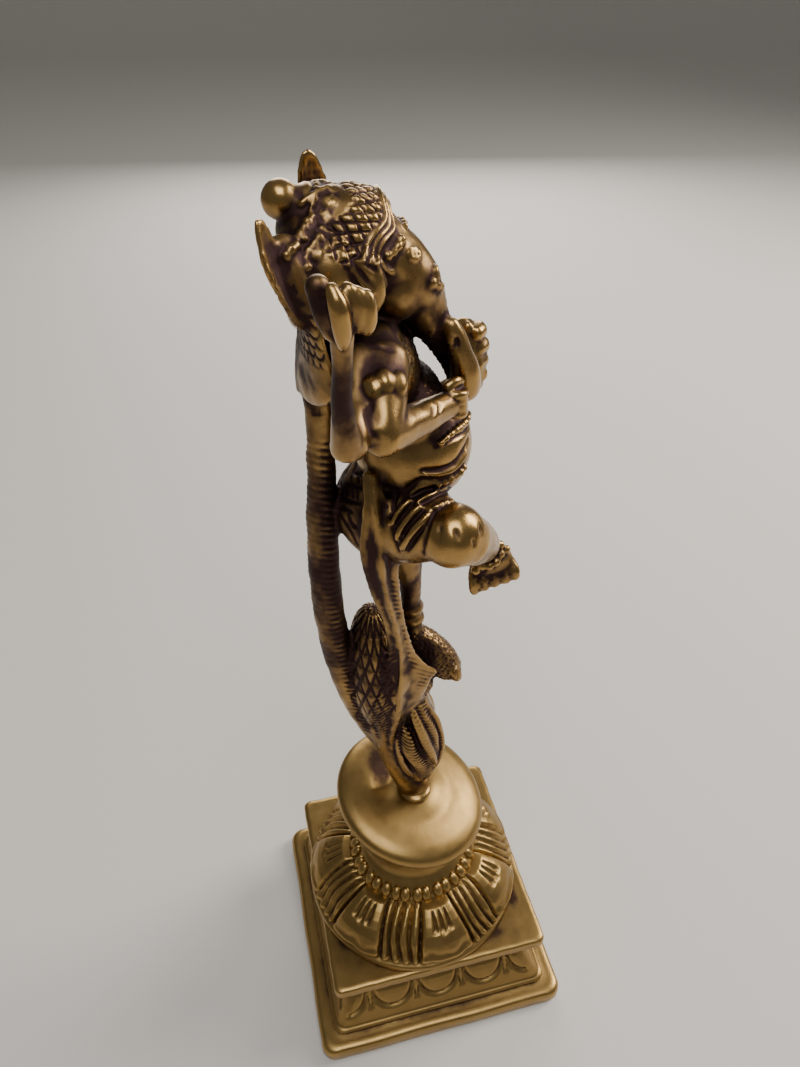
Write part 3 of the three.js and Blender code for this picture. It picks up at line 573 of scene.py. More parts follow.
# Bands wrapped round the foot of the support: course, radius, finish.
WRAPS = [
    ([[-5.6, 5.4, 111.5], [-6.9, 4.7, 108.6], [-7.5, 3.9, 103.6], [-7.5, 2.0, 98.0], [-6.6, -0.2, 92.4], [-5.2, -1.4, 88.6]], 2.0, "ticks"),
    ([[-4.6, 3.6, 118.5], [-6.2, 2.2, 112.5], [-7.2, 0.4, 106.0], [-7.5, -1.6, 99.6], [-6.6, -2.9, 94.4]], 1.45, "beads"),
    ([[-4.0, 2.0, 119.5], [-5.2, -0.3, 112.0], [-5.9, -2.6, 105.4], [-5.9, -3.9, 99.0]], 1.5, "dull"),
    ([[-2.6, 0.8, 119.0], [-3.6, -1.8, 113.4], [-4.2, -3.9, 108.6], [-4.4, -5.2, 103.1], [-4.8, -5.4, 98.0], [-5.4, -4.4, 93.2], [-5.2, -2.6, 89.2]], 0.95, "rim"),
    ([[-5.0, 6.6, 112.5], [-6.2, 6.7, 106.0], [-6.6, 6.2, 99.6], [-6.2, 4.6, 93.4], [-5.2, 2.2, 88.8], [-4.8, -0.6, 87.6], [-4.8, -2.4, 88.6]], 0.95, "rim"),
]


def add_details(d, skin):
    # knob on its collar
    d.ball((0, 22.6, 237.3), 3.1)
    d.limb([[0, 19.0, 235.6, 3.7], [0, 20.0, 236.1, 3.9], [0, 20.8, 236.5, 3.0]], cap=0.2)
    # fist of the lower right hand
    for i in range(4):
        z = 205.6 - 1.3 * i
        d.limb([[-9.4, -2.2, z + 0.1, 0.75], [-10.6, -3.4, z, 0.85], [-10.2, -5.2, z - 0.2, 0.8], [-8.6, -6.0, z - 0.3, 0.7]], sides=10)
    d.limb([[-9.4, -2.2, 206.6, 1.0], [-8.6, -4.0, 207.2, 0.95], [-7.6, -5.4, 206.6, 0.8]], sides=10)
    # upper right hand: closed, thumb down the front
    d.ball((-32.4, 19.6, 231.8), (2.0, 2.9, 3.2))
    for i in range(3):
        y = 18.2 - 1.1 * i
        z = -0.5 * i
        d.limb([[-32.2, y + 0.8, 234.2 + z, 0.85], [-33.4, y + 0.2, 235.2 + z, 0.9], [-34.0, y - 0.1, 233.6 + z, 0.9], [-33.8, y - 0.1, 231.6 + z, 0.85], [-33.0, y + 0.2, 230.2 + z, 0.75]], sides=12)
    d.limb([[-34.0, 20.6, 235.6, 0.9], [-35.0, 20.1, 234.0, 1.3], [-35.1, 19.9, 231.6, 1.35], [-34.8, 19.7, 229.4, 1.1], [-34.5, 19.6, 228.2, 0.8]], sides=14, cap=0.9)
    d.ball((-31.4, 22.0, 235.0), (1.8, 1.7, 1.7), rot=(18, 0, 0))
    d.limb([[-31.8, 22.2, 234.2, 1.3], [-32.2, 21.6, 231.6, 1.3], [-32.2, 20.6, 229.0, 1.3]], sides=12)
    # upper left hand
    for i in range(3):
        x = 31.6 - 0.8 * i
        y = 14.6 - 1.5 * i
        d.limb([[x, y + 0.6, 224.6, 1.3], [x + 1.0, y - 0.2, 228.4, 1.35], [x + 0.4, y - 1.0, 229.8, 1.2], [x - 0.5, y - 1.5, 227.6, 1.0]], sides=12)
    d.ball((31.2, 13.6, 224.6), (2.5, 3.1, 3.2))
    # sweets heaped in the lower left hand, the fingers round their outer edge
    d.ball((8.0, -11.2, 203.0), (4.0, 4.2, 8.6), rot=(-7, 0, 0), sides=24, rows=16)
    for i in range(26):
        a = 2.4 * i
        h = -0.9 + 1.8 * (i + 0.5) / 26
        c = math.sqrt(1 - h * h)
        d.ball((8.0 + 3.3 * c * math.cos(a), -11.2 + 3.5 * c * math.sin(a) + 1.0 * h, 203.0 + 7.8 * h), (1.15, 1.15, 1.5), sides=14, rows=9)
    for i in range(4):
        z = 208.4 - 3.1 * i
        y = -13.2 - 1.3 * math.sin(math.pi * (i + 0.5) / 4)
        d.limb([[10.4, y + 2.6, z - 0.6, 1.6], [9.4, y + 0.4, z - 0.1, 1.75], [7.4, y + 0.2, z + 0.5, 1.7], [5.8, y + 1.2, z + 0.7, 1.4]], sides=14, cap=0.9)
    # crown: bead string, rosettes and curls
    for path in LINES["crown_beads"]:
        far = [[-2.0, 3.4, 232.3], [0, 3.0, 232.6], [2.0, 3.4, 232.3]]
        d.beads(path, 0.8, 1.3, skin)
        d.beads(flipped(path), 0.8, 1.3, skin)
        d.beads(far, 0.65, 1.2, skin)
    axis = unit(CROWN_B - CROWN_A)
    e1 = np.array([1.0, 0, 0])
    e2 = np.cross(axis, e1)
    for i in range(12):
        a = 2 * math.pi * (i + 0.5) / 12
        out = e1 * math.cos(a) + e2 * math.sin(a)
        q, n = skin.shoot(CROWN_A + axis * 9.0 + out * 14, -out)
        if q is None:
            continue
        u = unit(np.cross(n, axis))
        w = np.cross(n, u)
        for j in range(6):
            t = 2 * math.pi * j / 6
            d.oriented(q + 0.8 * (u * math.cos(t) + w * math.sin(t)), (0.42, 0.36, 0.34), n, sides=10, rows=6)
        d.ball(q, 0.42, sides=10, rows=7)
    for i in range(26):
        a = 2 * math.pi * i / 26
        out = e1 * math.cos(a) + e2 * math.sin(a)
        q, n = skin.shoot(CROWN_A + axis * 11.0 + out * 14, -out)
        if q is not None:
            d.ball(q + n * 0.12, 0.5, sides=10, rows=7)
    for path in LINES["crown_ridges"]:
        d.cordline(path, 0.55, skin, 0.1)
        d.cordline(flipped(path), 0.55, skin, 0.1)
    for path in LINES["back_band"]:
        d.beads(path, 0.85, 1.3, skin, 0.62)
        d.beads(flipped(path), 0.85, 1.3, skin, 0.62)
    # eyes and tusk stubs
    for side in (1, -1):
        q, n = skin.near((side * 5.2, 2.4, 228.9))
        u = unit(np.cross(n, (0, 0, 1)))
        w = np.cross(n, u)
        ring = [list(q + n * 0.1 + 1.15 * u * math.cos(k) + 0.9 * w * math.sin(k)) + [0.36] for k in np.linspace(0, 2 * math.pi, 13)]
        d.limb(ring, sides=8, per=2)
        d.ball(q + n * 0.05, 0.5, sides=10, rows=7)
        q, n = skin.near((side * 3.6, -1.9, 225.0))
        m = unit(n + np.array([-0.5 * side, -0.3, 0.0]))
        d.limb([[*(q - m * 1.0), 1.5], [*(q + m * 0.3), 1.35], [*(q + m * 0.6), 1.15]], sides=16, cap=0.1)
        for at in ((3.8, -1.0, 222.9), (3.2, -2.0, 222.4), (4.4, 0.0, 223.6)):
            q, n = skin.near((side * at[0], at[1], at[2]))
            d.ball(q, (0.8, 0.8, 0.95), sides=12, rows=8)
    for path in LINES["ear_folds"]:
        d.cordline(path, 0.6, skin, 0.05)
        d.cordline(flipped(path), 0.6, skin, 0.05)
    # waist bands, hems and cloth folds
    for path in LINES["belly_beads"]:
        d.beads(path, 0.78, 1.35, skin)
    for path in LINES["belly_ridges"]:
        d.cordline(path, 0.5, skin, 0.05)
    for path in LINES["knee_hem_beads"]:
        d.beads(path, 0.6, 1.1, skin)
    for path in LINES["dhoti_ridges"]:
        d.cordline(path, 1.0, skin, -0.35)
    # armlets
    for y, z, x in ((13.0, 213.9, -19.3), (10.9, 214.4, -19.0), (8.7, 213.4, -18.6)):
        q, n = skin.near((x, y, z))
        d.oriented(q - n * 0.55, (1.7, 2.3, 1.5), n, up=(1, 0, 0.4), sides=16, rows=10)
        d.oriented((q - n * 0.55) * np.array([-1, 1, 1]), (1.7, 2.3, 1.5), n * np.array([-1, 1, 1]), up=(1, 0, 0.4), sides=16, rows=10)
    # anklet of the raised foot
    for at in ((-9.2, -9.8, 162.4), (-9.5, -11.3, 163.8), (-9.5, -12.8, 163.6), (-9.3, -14.3, 164.2), (-8.8, -15.6, 165.6), (-7.8, -16.4, 167.2), (-7.6, -17.3, 165.6)):
        q, n = skin.near(at)
        d.ball(q + n * 0.3, (1.05, 1.05, 1.05), sides=12, rows=8)
    # bands wrapped on the foot of the support
    for path, r, kind in WRAPS:
        for side in (1, -1):
            c = smooth_path(path if side == 1 else flipped(path), 8)[:, :3]
            m = len(c) - 1
            if kind == "beads":
                d.limb([list(q) + [r * (0.45 + 0.45 * math.sin(math.pi * j / m))] for j, q in enumerate(c)], sides=14, per=1)
                step = np.append(0, np.cumsum(np.linalg.norm(np.diff(c, axis=0), axis=1)))
                for t in np.arange(0.6, step[-1], 1.35):
                    q = np.array([np.interp(t, step, c[:, i]) for i in range(3)])
                    d.ball(q + np.array([-0.35 * side, -0.25, 0]), r * (0.55 + 0.5 * math.sin(math.pi * t / step[-1])), sides=12, rows=8)
            else:
                low = 0.35 if kind != "rim" else 0.7
                d.limb([list(q) + [r * (low + (1 - low) * math.sin(math.pi * j / m))] for j, q in enumerate(c)], sides=16, per=1)
    # braze at the foot
    d.ball((0.9, 0.5, 74.0), (5.8, 5.0, 1.5), sides=28, rows=10)


def relief(V, N):
    D = np.zeros(len(V))
    # ribs across the tail
    c = smooth_path(ROD, 8)
    idx, S, dist, C, T = along(V, c[8:-10], 4.4)
    side = ((V[idx] - C) @ np.array([0.55, -0.83, 0.0])) / 3.3
    m = smoothstep(0, 3, S) * (1 - smoothstep(S.max() - 3, S.max(), S)) * (0.16 + 0.84 * np.exp(-(((side + 0.30) / 0.42) ** 2)))
    D[idx] += -0.30 * m * (0.5 + 0.5 * np.cos(2 * np.pi * (S / 1.55 + 0.62 * side))) ** 3 + 0.05 * np.sin(S * 0.9 + 2 * side)
    cuts = np.zeros(len(V))
    # rim bands and net over the front of the crown
    axis = unit(CROWN_B - CROWN_A)
    q = V - CROWN_A
    s = q @ axis
    out = q - s[:, None] * axis
    rad = np.linalg.norm(out, axis=1)
    phi = np.arctan2(out @ np.cross(axis, [1.0, 0, 0]), out[:, 0])
    front = (rad > 5.0) * (rad < 11.5) * (V[:, 2] > 228.2) * (out @ np.cross(axis, [1.0, 0, 0]) < 2.0)
    lean = -0.2 - 1.7 * np.exp(-(((np.abs(phi + np.pi / 2) - 0.75) / 0.38) ** 2))
    b = s - lean
    band = smoothstep(0.0, 0.25, b) * (1 - smoothstep(2.9, 3.2, b)) * front
    D += band * (0.30 + 0.22 * np.cos(2 * np.pi * (b - 0.5) / 1.05))
    net = smoothstep(3.1, 3.5, b) * (1 - smoothstep(7.6, 8.4, b)) * front
    n1 = phi * 8.2 / 2.0 + b / 2.9
    n2 = -phi * 8.2 / 2.0 + b / 2.9
    f1, f2 = np.abs(n1 - np.round(n1)), np.abs(n2 - np.round(n2))
    D += net * (0.20 - 0.46 * np.exp(-(np.minimum(f1, f2) ** 2) / 0.016))
    for path in LINES["belly_cuts"]:
        stroke(cuts, V, path, 0.9, -0.55)
    for path in LINES["knee_hem"]:
        stroke(cuts, V, path, 1.1, -0.6)
    for path in LINES["knee_marks"]:
        stroke(cuts, V, path, 1.0, -0.40)
    for path in LINES["dhoti_cuts"]:
        stroke(cuts, V, path, 1.1, -0.75)
    for path in LINES["hip_cuts"]:
        stroke(cuts, V, path, 0.8, -0.55)
        stroke(cuts, V, flipped(path), 0.8, -0.45)
    for path in LINES["hip_ticks"]:
        stroke(cuts, V, path, 0.5, -0.35)
    for path in LINES["arm_cuts"]:
        stroke(cuts, V, path, 0.9, -0.25)
    # eye and tusk hollows
    for side in (1, -1):
        d2 = (((V - np.array([side * 4.4, -2.8, 225.2])) / np.array([1.0, 0.85, 1.15])) ** 2).sum(1)
        cuts = np.minimum(cuts, -1.2 * np.exp(-d2 / 0.8))
    # sash: crease, hatched back half and hatched front edge
    sec = sash_sections()
    z = V[:, 2]

    def edge(i):
        o = np.argsort(sec[:, i + 2])
        return np.interp(z, sec[o, i + 2], sec[o, i + 1]), np.interp(z, sec[o, i + 2], sec[o, i])

    (yl, xl), (ym, xm), (yr, xr) = edge(0), edge(3), edge(6)
    on = (z > 84) & (z < 185) & (V[:, 0] < np.maximum(xl, xr) + 0.5) & (V[:, 0] > xm - 2.5) & (V[:, 1] < yl + 0.9) & (V[:, 1] > yr - 0.9)
    y = V[:, 1]
    tl = (y - ym) / np.maximum(1e-3, yl - ym)
    tr = (ym - y) / np.maximum(1e-3, ym - yr)
    wave_l = (0.5 + 0.5 * np.cos(2 * np.pi * (0.9 * z + 0.75 * (y - ym)) / 1.35)) ** 1.3
    wave_r = (0.5 + 0.5 * np.cos(2 * np.pi * (0.9 * z - 0.80 * (y - ym)) / 1.40)) ** 1.3
    left = smoothstep(0.25, 0.5, tl) * (smoothstep(106, 112, z) * (1 - smoothstep(140, 146, z)) + 0.12 * smoothstep(150, 156, z) * (1 - smoothstep(172, 178, z)))
    right = smoothstep(0.20, 0.4, tr) * smoothstep(153, 156, z) * (1 - smoothstep(166, 170, z)) + smoothstep(0.45, 0.6, tr) * smoothstep(124, 128, z) * (1 - smoothstep(150, 154, z))
    D += on * (-0.20 * left * wave_l - 0.13 * right * wave_r)
    stroke(cuts, V, [[-10.7, 7.7, 144], [-10.1, 7.7, 137], [-9.2, 7.5, 130], [-8.5, 7.2, 123.5]], 1.3, -0.8)
    stroke(cuts, V, [[-13.6, 10.0, 176], [-13.4, 9.4, 169], [-12.6, 8.4, 163]], 1.0, -0.45)
    # leaf scales on the swelling of the support
    q = (V - OVAL) / np.array([9, 6.3, 20.2])
    near = (np.abs((q ** 2).sum(1) - 1) < 0.35) & (z > 112) & (z < 148.2) & (V[:, 1] > 5)
    ang = np.arctan2(q[near][:, 1], q[near][:, 0])
    row = z[near] / 4.1
    k = np.floor(row)
    x = ((ang * 7.4 / 3.1 + 0.5 * (k % 2)) % 1.0) - 0.5
    h = row - k
    w = 0.5 * np.clip(h, 0.001, 1) ** 0.75
    dist = np.abs(np.abs(x) - w) * 3.1
    fade = smoothstep(118, 128, z[near])
    D[near] += (0.35 + 0.65 * fade) * (-0.46 * np.exp(-((dist / 0.34) ** 2)) + 0.14 * (np.abs(x) < w))
    # transverse ticks on the wrapped bands
    for path, r, kind in WRAPS:
        if kind == "rim" or kind == "beads":
            continue
        for side in (1, -1):
            idx, S, dist, C, T = along(V, smooth_path(path if side == 1 else flipped(path), 8), r * 1.35)
            if len(idx):
                lean = (V[idx] - C)[:, 1]
                deep = 0.30 if kind == "ticks" else 0.18
                D[idx] += -deep * (0.5 + 0.5 * np.cos(2 * np.pi * (S + 0.7 * lean) / 1.15)) ** 1.2 * (dist > 0.35 * r)
    # rings on the trunk
    tr_path = smooth_path([[0, 2.0, 222.4], [0, -0.6, 219.4], [0, -2.6, 214.6], [0, -4.6, 210.6], [0, -6.6, 206.6], [-0.4, -7.6, 203.2], [-1.8, -8.2, 201.6]], 8)
    idx, S, dist, C, T = along(V, tr_path, 4.4)
    D[idx] += -0.18 * smoothstep(0, 4, S) * (0.5 + 0.5 * np.cos(2 * np.pi * S / 1.7)) ** 2 * (V[idx][:, 0] > -1.6)
    d2 = (((V - np.array([-5.6, -5.0, 213.0])) / np.array([1.0, 0.8, 1.1])) ** 2).sum(1)
    cuts = np.minimum(cuts, -0.8 * np.exp(-d2 / 0.9))
    # scales on the back of the hood
    hood = (z > 214) & (z < 229) & (V[:, 1] > 16.5) & (np.abs(V[:, 0]) < 15.5) & (N[:, 1] > 0.15)
    row = z[hood] / 1.8
    col = V[hood][:, 0] / 1.6 + 0.5 * (np.floor(row) % 2)
    fr, fc = row % 1.0, (col % 1.0) - 0.5
    arc_d = np.abs(np.sqrt((fr - 0.95) ** 2 + (fc * 1.25) ** 2) - 0.62)
    D[hood] += -0.24 * np.exp(-(arc_d / 0.12) ** 2) * smoothstep(214, 216, z[hood])
    # stippled chest and uneven casting everywhere
    w = 0.5 * np.sin(V[:, 0] * 4.1 + 1.7 * np.sin(z * 2.3)) * np.sin(V[:, 1] * 4.6 + 1.3 * np.sin(V[:, 0] * 2.9)) * np.sin(z * 4.3)
    chest = smoothstep(201, 204, z) * (1 - smoothstep(213, 216, z)) * (V[:, 1] < 9) * (V[:, 1] > -4.5) * (V[:, 0] > -9) * (V[:, 0] < 9)
    foot = (z > 118) & (z < 137) & (V[:, 1] < 1) & (V[:, 0] > -5) & (V[:, 0] < 8)
    sole = (z > 152) & (z < 161) & (V[:, 1] < -8)
    D += 0.35 * w * chest + 0.40 * w * foot + 0.22 * w * sole
    low = np.sin(V[:, 0] * 0.61 + 0.7) * np.sin(V[:, 1] * 0.53 + 1.9) * np.sin(z * 0.47)
    mid = np.sin(V[:, 0] * 1.31 + 0.3 + 0.8 * np.sin(z * 0.7)) * np.sin(V[:, 1] * 1.17 + 1.1) * np.sin(z * 0.93 + 0.5 * np.sin(V[:, 0]))
    D += 0.12 * low + 0.07 * mid
    # hollow in the side of the standing foot
    d2 = (((V - np.array([-2.6, -1.2, 132.6])) / np.array([2.4, 2.6, 5.4])) ** 2).sum(1)
    cuts = np.minimum(cuts, -1.0 * np.exp(-d2))
    # dots inside the two leaves
    for c0, deep in (((-12.0, 26.2, 234.4), 0.05), ((11.0, 15.8, 237.0), 0.09)):
        q = V - np.array(c0)
        g = (np.abs(q[:, 2]) < 3.4) * ((q[:, 0] ** 2 + q[:, 1] ** 2) < 5.0)
        D += -deep * g * (0.5 + 0.5 * np.cos(2 * np.pi * q[:, 2] / 1.3)) * (0.5 + 0.5 * np.cos(2 * np.pi * (q[:, 0] - q[:, 1]) / 1.3))
    return D + cuts


# ------------------------------------------------------------------ the plinth
DISC_AT = (1.4, 1.5)
DISC_LEAN = (0.15, 0.22)       # the disc was brazed on leaning
PETAL_AT = (80.2, 131.9, 185.4, 235.6, 286.5, 337.5, 388.8)


def profile_rows(points, step):
    """Even rows along a profile with soft corners kept where they are given."""
    p = np.asarray(points, float)
    s = np.append(0, np.cumsum(np.linalg.norm(np.diff(p[:, :2], axis=0), axis=1)))
    n = max(3, int(s[-1] / step))
    t = np.unique(np.round(np.concatenate([np.linspace(0, s[-1], n), s]), 3))
    return np.stack([np.interp(t, s, p[:, i]) for i in range(p.shape[1])], 1)


def arc(cx, cz, r, a0, a1, n=8):
    a = np.radians(np.linspace(a0, a1, n))
    return [[cx + r * math.cos(t), cz + r * math.sin(t)] for t in a]


def square_ring(h, cr, per_side, per_corner):
    """Points of a rounded square of half side h, with how far along which side each one is."""
    out, tag = [], []
    for k in range(4):
        a0 = k * math.pi / 2
        side = np.linspace(-(h - cr), h - cr, per_side, endpoint=False)
        ca, sa = math.cos(a0), math.sin(a0)
        for u in side:
            out.append((h * ca - u * sa, h * sa + u * ca))
            tag.append((k, u))
        for j in range(per_corner):
            b = a0 + (math.pi / 2) * j / per_corner
            cx, cy = (h - cr) * (ca - sa), (h - cr) * (sa + ca)
            out.append((cx + cr * math.cos(b), cy + cr * math.sin(b)))
            tag.append((k, h - cr + 0.001))
    return np.array(out), np.array(tag)


def leaned(P, z, amount):
    """Tips rows of the disc about its centre, leaving the spot under the figure level."""
    dx, dy = P[..., 0] - DISC_AT[0], P[..., 1] - DISC_AT[1]
    return amount * (DISC_LEAN[0] * dx + DISC_LEAN[1] * dy) * smoothstep(4.0, 12.0, np.hypot(dx, dy))


def build_plinth():
    shells = Clay()
    # square steps: half side, height, corner radius
    foot = [[37.2, 0.0, 4.0], [37.8, 0.4, 4.0], [38.0, 1.2, 4.0], [38.0, 3.9, 4.0], [37.75, 4.7, 4.0], [37.2, 5.25, 4.0], [36.4, 5.5, 4.0], [33.7, 5.55, 3.6]]
    roll = [[*q, 3.2] for q in arc(32.75, 6.55, 0.95, -60, 75, 8)]
    face = [[32.5, 7.7, 3.0], [31.5, 9.6, 2.8], [30.2, 12.0, 2.5], [28.8, 14.4, 2.2], [27.7, 16.1, 2.0]]
    hollow = [[27.3, 16.6, 2.0], [27.0, 17.6, 2.0], [26.9, 18.8, 2.0], [27.1, 20.6, 2.0], [27.9, 22.6, 2.0], [29.1, 24.5, 2.0], [30.5, 26.3, 2.1]]
    slab = [[31.3, 26.7, 2.2], [31.8, 27.1, 2.2], [32.0, 27.8, 2.2], [32.0, 29.7, 2.2], [31.8, 30.3, 2.2], [31.3, 30.65, 2.2], [30.4, 30.7, 2.2], [26.0, 30.7, 2.2]]
    rows = np.vstack([profile_rows(foot, 1.5), profile_rows(roll, 0.4), profile_rows(face, 0.38), profile_rows(hollow, 1.3), profile_rows(slab, 1.2)])
    per_side, per_corner = 112, 6
    P, tags = [], []
    for h, z, cr in rows:
        ring, tag = square_ring(h, cr, per_side, per_corner)
        P.append(np.column_stack([ring, np.full(len(ring), z)]))
        tags.append(tag)
    P, tags = np.array(P), np.array(tags)
    side, u = tags[..., 0], tags[..., 1]
    big = np.maximum(np.abs(P[..., 0]), np.abs(P[..., 1]))
    flat = u < rows[:, 0][:, None] - rows[:, 2][:, None]
    Nrm = np.zeros_like(P)
    Nrm[..., 0] = np.where((np.abs(P[..., 0]) >= big - 1e-6) & flat, np.sign(P[..., 0]), 0)
    Nrm[..., 1] = np.where((np.abs(P[..., 1]) >= big - 1e-6) & flat, np.sign(P[..., 1]), 0)
    z = P[..., 2]
    # a row of hanging arcs cut in each sloping face, with paired notches between them
    onface = smoothstep(7.6, 8.2, z) * (1 - smoothstep(15.9, 16.3, z))
    cut, lift = np.zeros(z.shape), np.zeros(z.shape)
    for k in range(4):
        here = side == k
        shift = (-0.5, 0.4, -0.2, 0.6)[k]
        for j in range(-2, 3):
            uc = shift + 14.4 * j
            r = np.sqrt(((u - uc) / 6.2) ** 2 + ((z - 16.2) / 5.6) ** 2)
            arm = np.exp(-(((r - 1.0) * 5.8) / 0.52) ** 2) * (z < 16.3)
            cut = np.maximum(cut, arm * here)
            lift = np.maximum(lift, 0.30 * np.clip(1 - r, 0, 1) ** 0.5 * here)
            for off in (-0.55, 0.55):
                notch = np.exp(-(((u - uc - 7.2 - off) / 0.34) ** 2)) * smoothstep(10.6, 12.4, z)
                cut = np.maximum(cut, 0.9 * notch * here)
    P = P + Nrm * ((1.3 * lift - 1.2 * cut) * onface)[..., None]
    wob = 0.12 * np.sin(P[..., 0] * 0.23 + 1.1) * np.sin(P[..., 1] * 0.19 + 0.4) + 0.05 * np.sin(u * 0.9) * (z > 26)
    P = P + Nrm * (wob * (z > 0.4))[..., None]
    shells.rings(P)

    # lotus
    prof = [[26.0, 30.2], [31.2, 30.3], [31.9, 30.7], [32.25, 31.4], [32.2, 32.2], [31.8, 32.9], [31.0, 33.4], [30.4, 34.2], [30.0, 35.4], [29.2, 37.0], [27.9, 38.9], [26.1, 40.7], [24.0, 42.3], [21.8, 43.6], [19.8, 44.5], [18.4, 45.0], [17.0, 45.2], [15.4, 45.5], [14.4, 46.6]]
    rows = profile_rows(prof, 0.55)
    M = 480
    a = np.linspace(0, 2 * np.pi, M, endpoint=False)
    centres = np.radians(np.array(PETAL_AT))
    gap = (a[:, None] - centres[None, :] + np.pi) % (2 * np.pi) - np.pi
    which = np.argmin(np.abs(gap), axis=1)
    d = gap[np.arange(M), which]
    nxt = np.where(d > 0, (which + 1) % PETALS, (which - 1) % PETALS)
    step = np.abs((centres[nxt] - centres[which] + np.pi) % (2 * np.pi) - np.pi)
    P = np.zeros((len(rows), M, 3))
    for i, (r, z) in enumerate(rows):
        t = (z - 34.2) / (44.8 - 34.2)                    # 0 at the foot of the petals, 1 under the beads
        tc = float(np.clip(t, 0, 1))
        on = float(smoothstep(-0.10, 0.02, t) * (1 - smoothstep(0.96, 1.04, t)))
        half = math.radians(15.4 - 3.4 * tc ** 1.5)
        e = np.abs(d) / half
        # broad petal: smooth, raised, with cuts at its top and a ragged foot
        rag = 0.10 * np.sin(d * 19 + which * 2.1) + 0.05 * np.sin(d * 37 + which)
        broad = 1.9 - 0.75 * np.clip(e, 0, 1) ** 3
        broad *= smoothstep(-0.16 + 0.4 * rag, 0.04 + 0.4 * rag, t)
        broad += 0.28 * np.exp(-(((t - 0.06 - 0.4 * rag) / 0.09) ** 2)) - 0.22 * np.exp(-(((t - 0.21 - 0.5 * rag) / 0.07) ** 2))
        for q in (-1, 0, 1):
            w = math.radians(1.15) * (0.4 + 1.2 * float(np.clip((0.95 - t) / 0.35, 0, 1)))
            tear = float(smoothstep(0.58 + 0.05 * q * q, 0.68, t) * (1 - smoothstep(0.90, 0.97, t)))
            broad -= 1.0 * tear * np.exp(-(((d - q * math.radians(4.6) - 0.01 * np.sin(which * 3.0)) / w) ** 2))
        # flutes between the petals: four rounded lobes swung over in an S, swollen at the foot
        x = np.clip((np.abs(d) - half) / np.maximum(1e-3, step / 2 - half), 0, 1)
        y = np.where(d > 0, 0.5 * x, 1 - 0.5 * x)          # 0..1 across the whole ground between two petals
        y = y + 0.085 * math.sin(math.pi * (1 - tc) * 1.25) * np.sin(np.pi * y)
        lobe = np.abs(np.sin(np.pi * 4 * y)) ** 0.8
        foot_ = math.exp(-(((t - 0.06) / 0.12) ** 2))
        flute = (1.55 + 0.70 * foot_) * lobe - 0.75 + 0.25 * foot_
        flute *= smoothstep(-0.12, 0.0, t)
        edge_cut = -1.0 * np.exp(-(((e - 1.03) / 0.075) ** 2))
        bump = np.where(e < 1.0, broad, flute) + edge_cut
        k = (r + bump * on) / r
        P[i, :, 0] = r * k * np.cos(a)
        P[i, :, 1] = r * k * np.sin(a) + AXIS_Y
        P[i, :, 2] = z + 0.45 * bump * on
    shells.rings(P)

    # bead ring in its fillets, neck and leaning disc
    for i in range(36):
        t = 2 * math.pi * (i + 0.10 * math.sin(i * 2.7)) / 36
        fat = 1 + 0.07 * math.sin(i * 4.1)
        shells.oriented((0.3 + 17.7 * math.cos(t), AXIS_Y + 17.7 * math.sin(t), 46.4), (1.55 * fat, 2.5, 1.35), (math.cos(t), math.sin(t), 0.75), sides=14, rows=10)
    prof = [[13.0, 44.0], [19.0, 44.4], [19.3, 45.0], [18.6, 45.6], [17.8, 46.0], [17.2, 47.0], [16.4, 48.2], [15.6, 49.4], [14.6, 50.2], [14.1, 52.0], [14.0, 54.4], [14.4, 57.4], [15.4, 60.6], [17.2, 63.4], [19.2, 65.6],
            [20.9, 67.4], [21.4, 69.0], [21.1, 70.3], [20.2, 71.3], [17.9, 72.3], [14.2, 73.0], [8.0, 73.35], [0.2, 73.4]]
    rows = profile_rows(prof, 0.62)
    for _ in range(6):
        rows[1:-1] = (rows[:-2] + 2 * rows[1:-1] + rows[2:]) / 4
    M = 120
    a = np.linspace(0, 2 * np.pi, M, endpoint=False)
    P = np.zeros((len(rows), M, 3))
    for i, (r, z) in enumerate(rows):
        t = float(smoothstep(46, 61, z))
        wob = 1 + 0.004 * np.sin(2 * a + 0.6) + 0.003 * np.sin(3 * a + 2)
        P[i, :, 0] = 0.2 + (DISC_AT[0] - 0.2) * t + r * wob * np.cos(a)
        P[i, :, 1] = AXIS_Y + (DISC_AT[1] - AXIS_Y) * t + r * wob * np.sin(a)
        P[i, :, 2] = z
        P[i, :, 2] += leaned(P[i], z, float(smoothstep(52, 64, z)))
    shells.rings(P)
    v, f = shells.arrays()
    return to_mesh("plinth_skin", v, f)


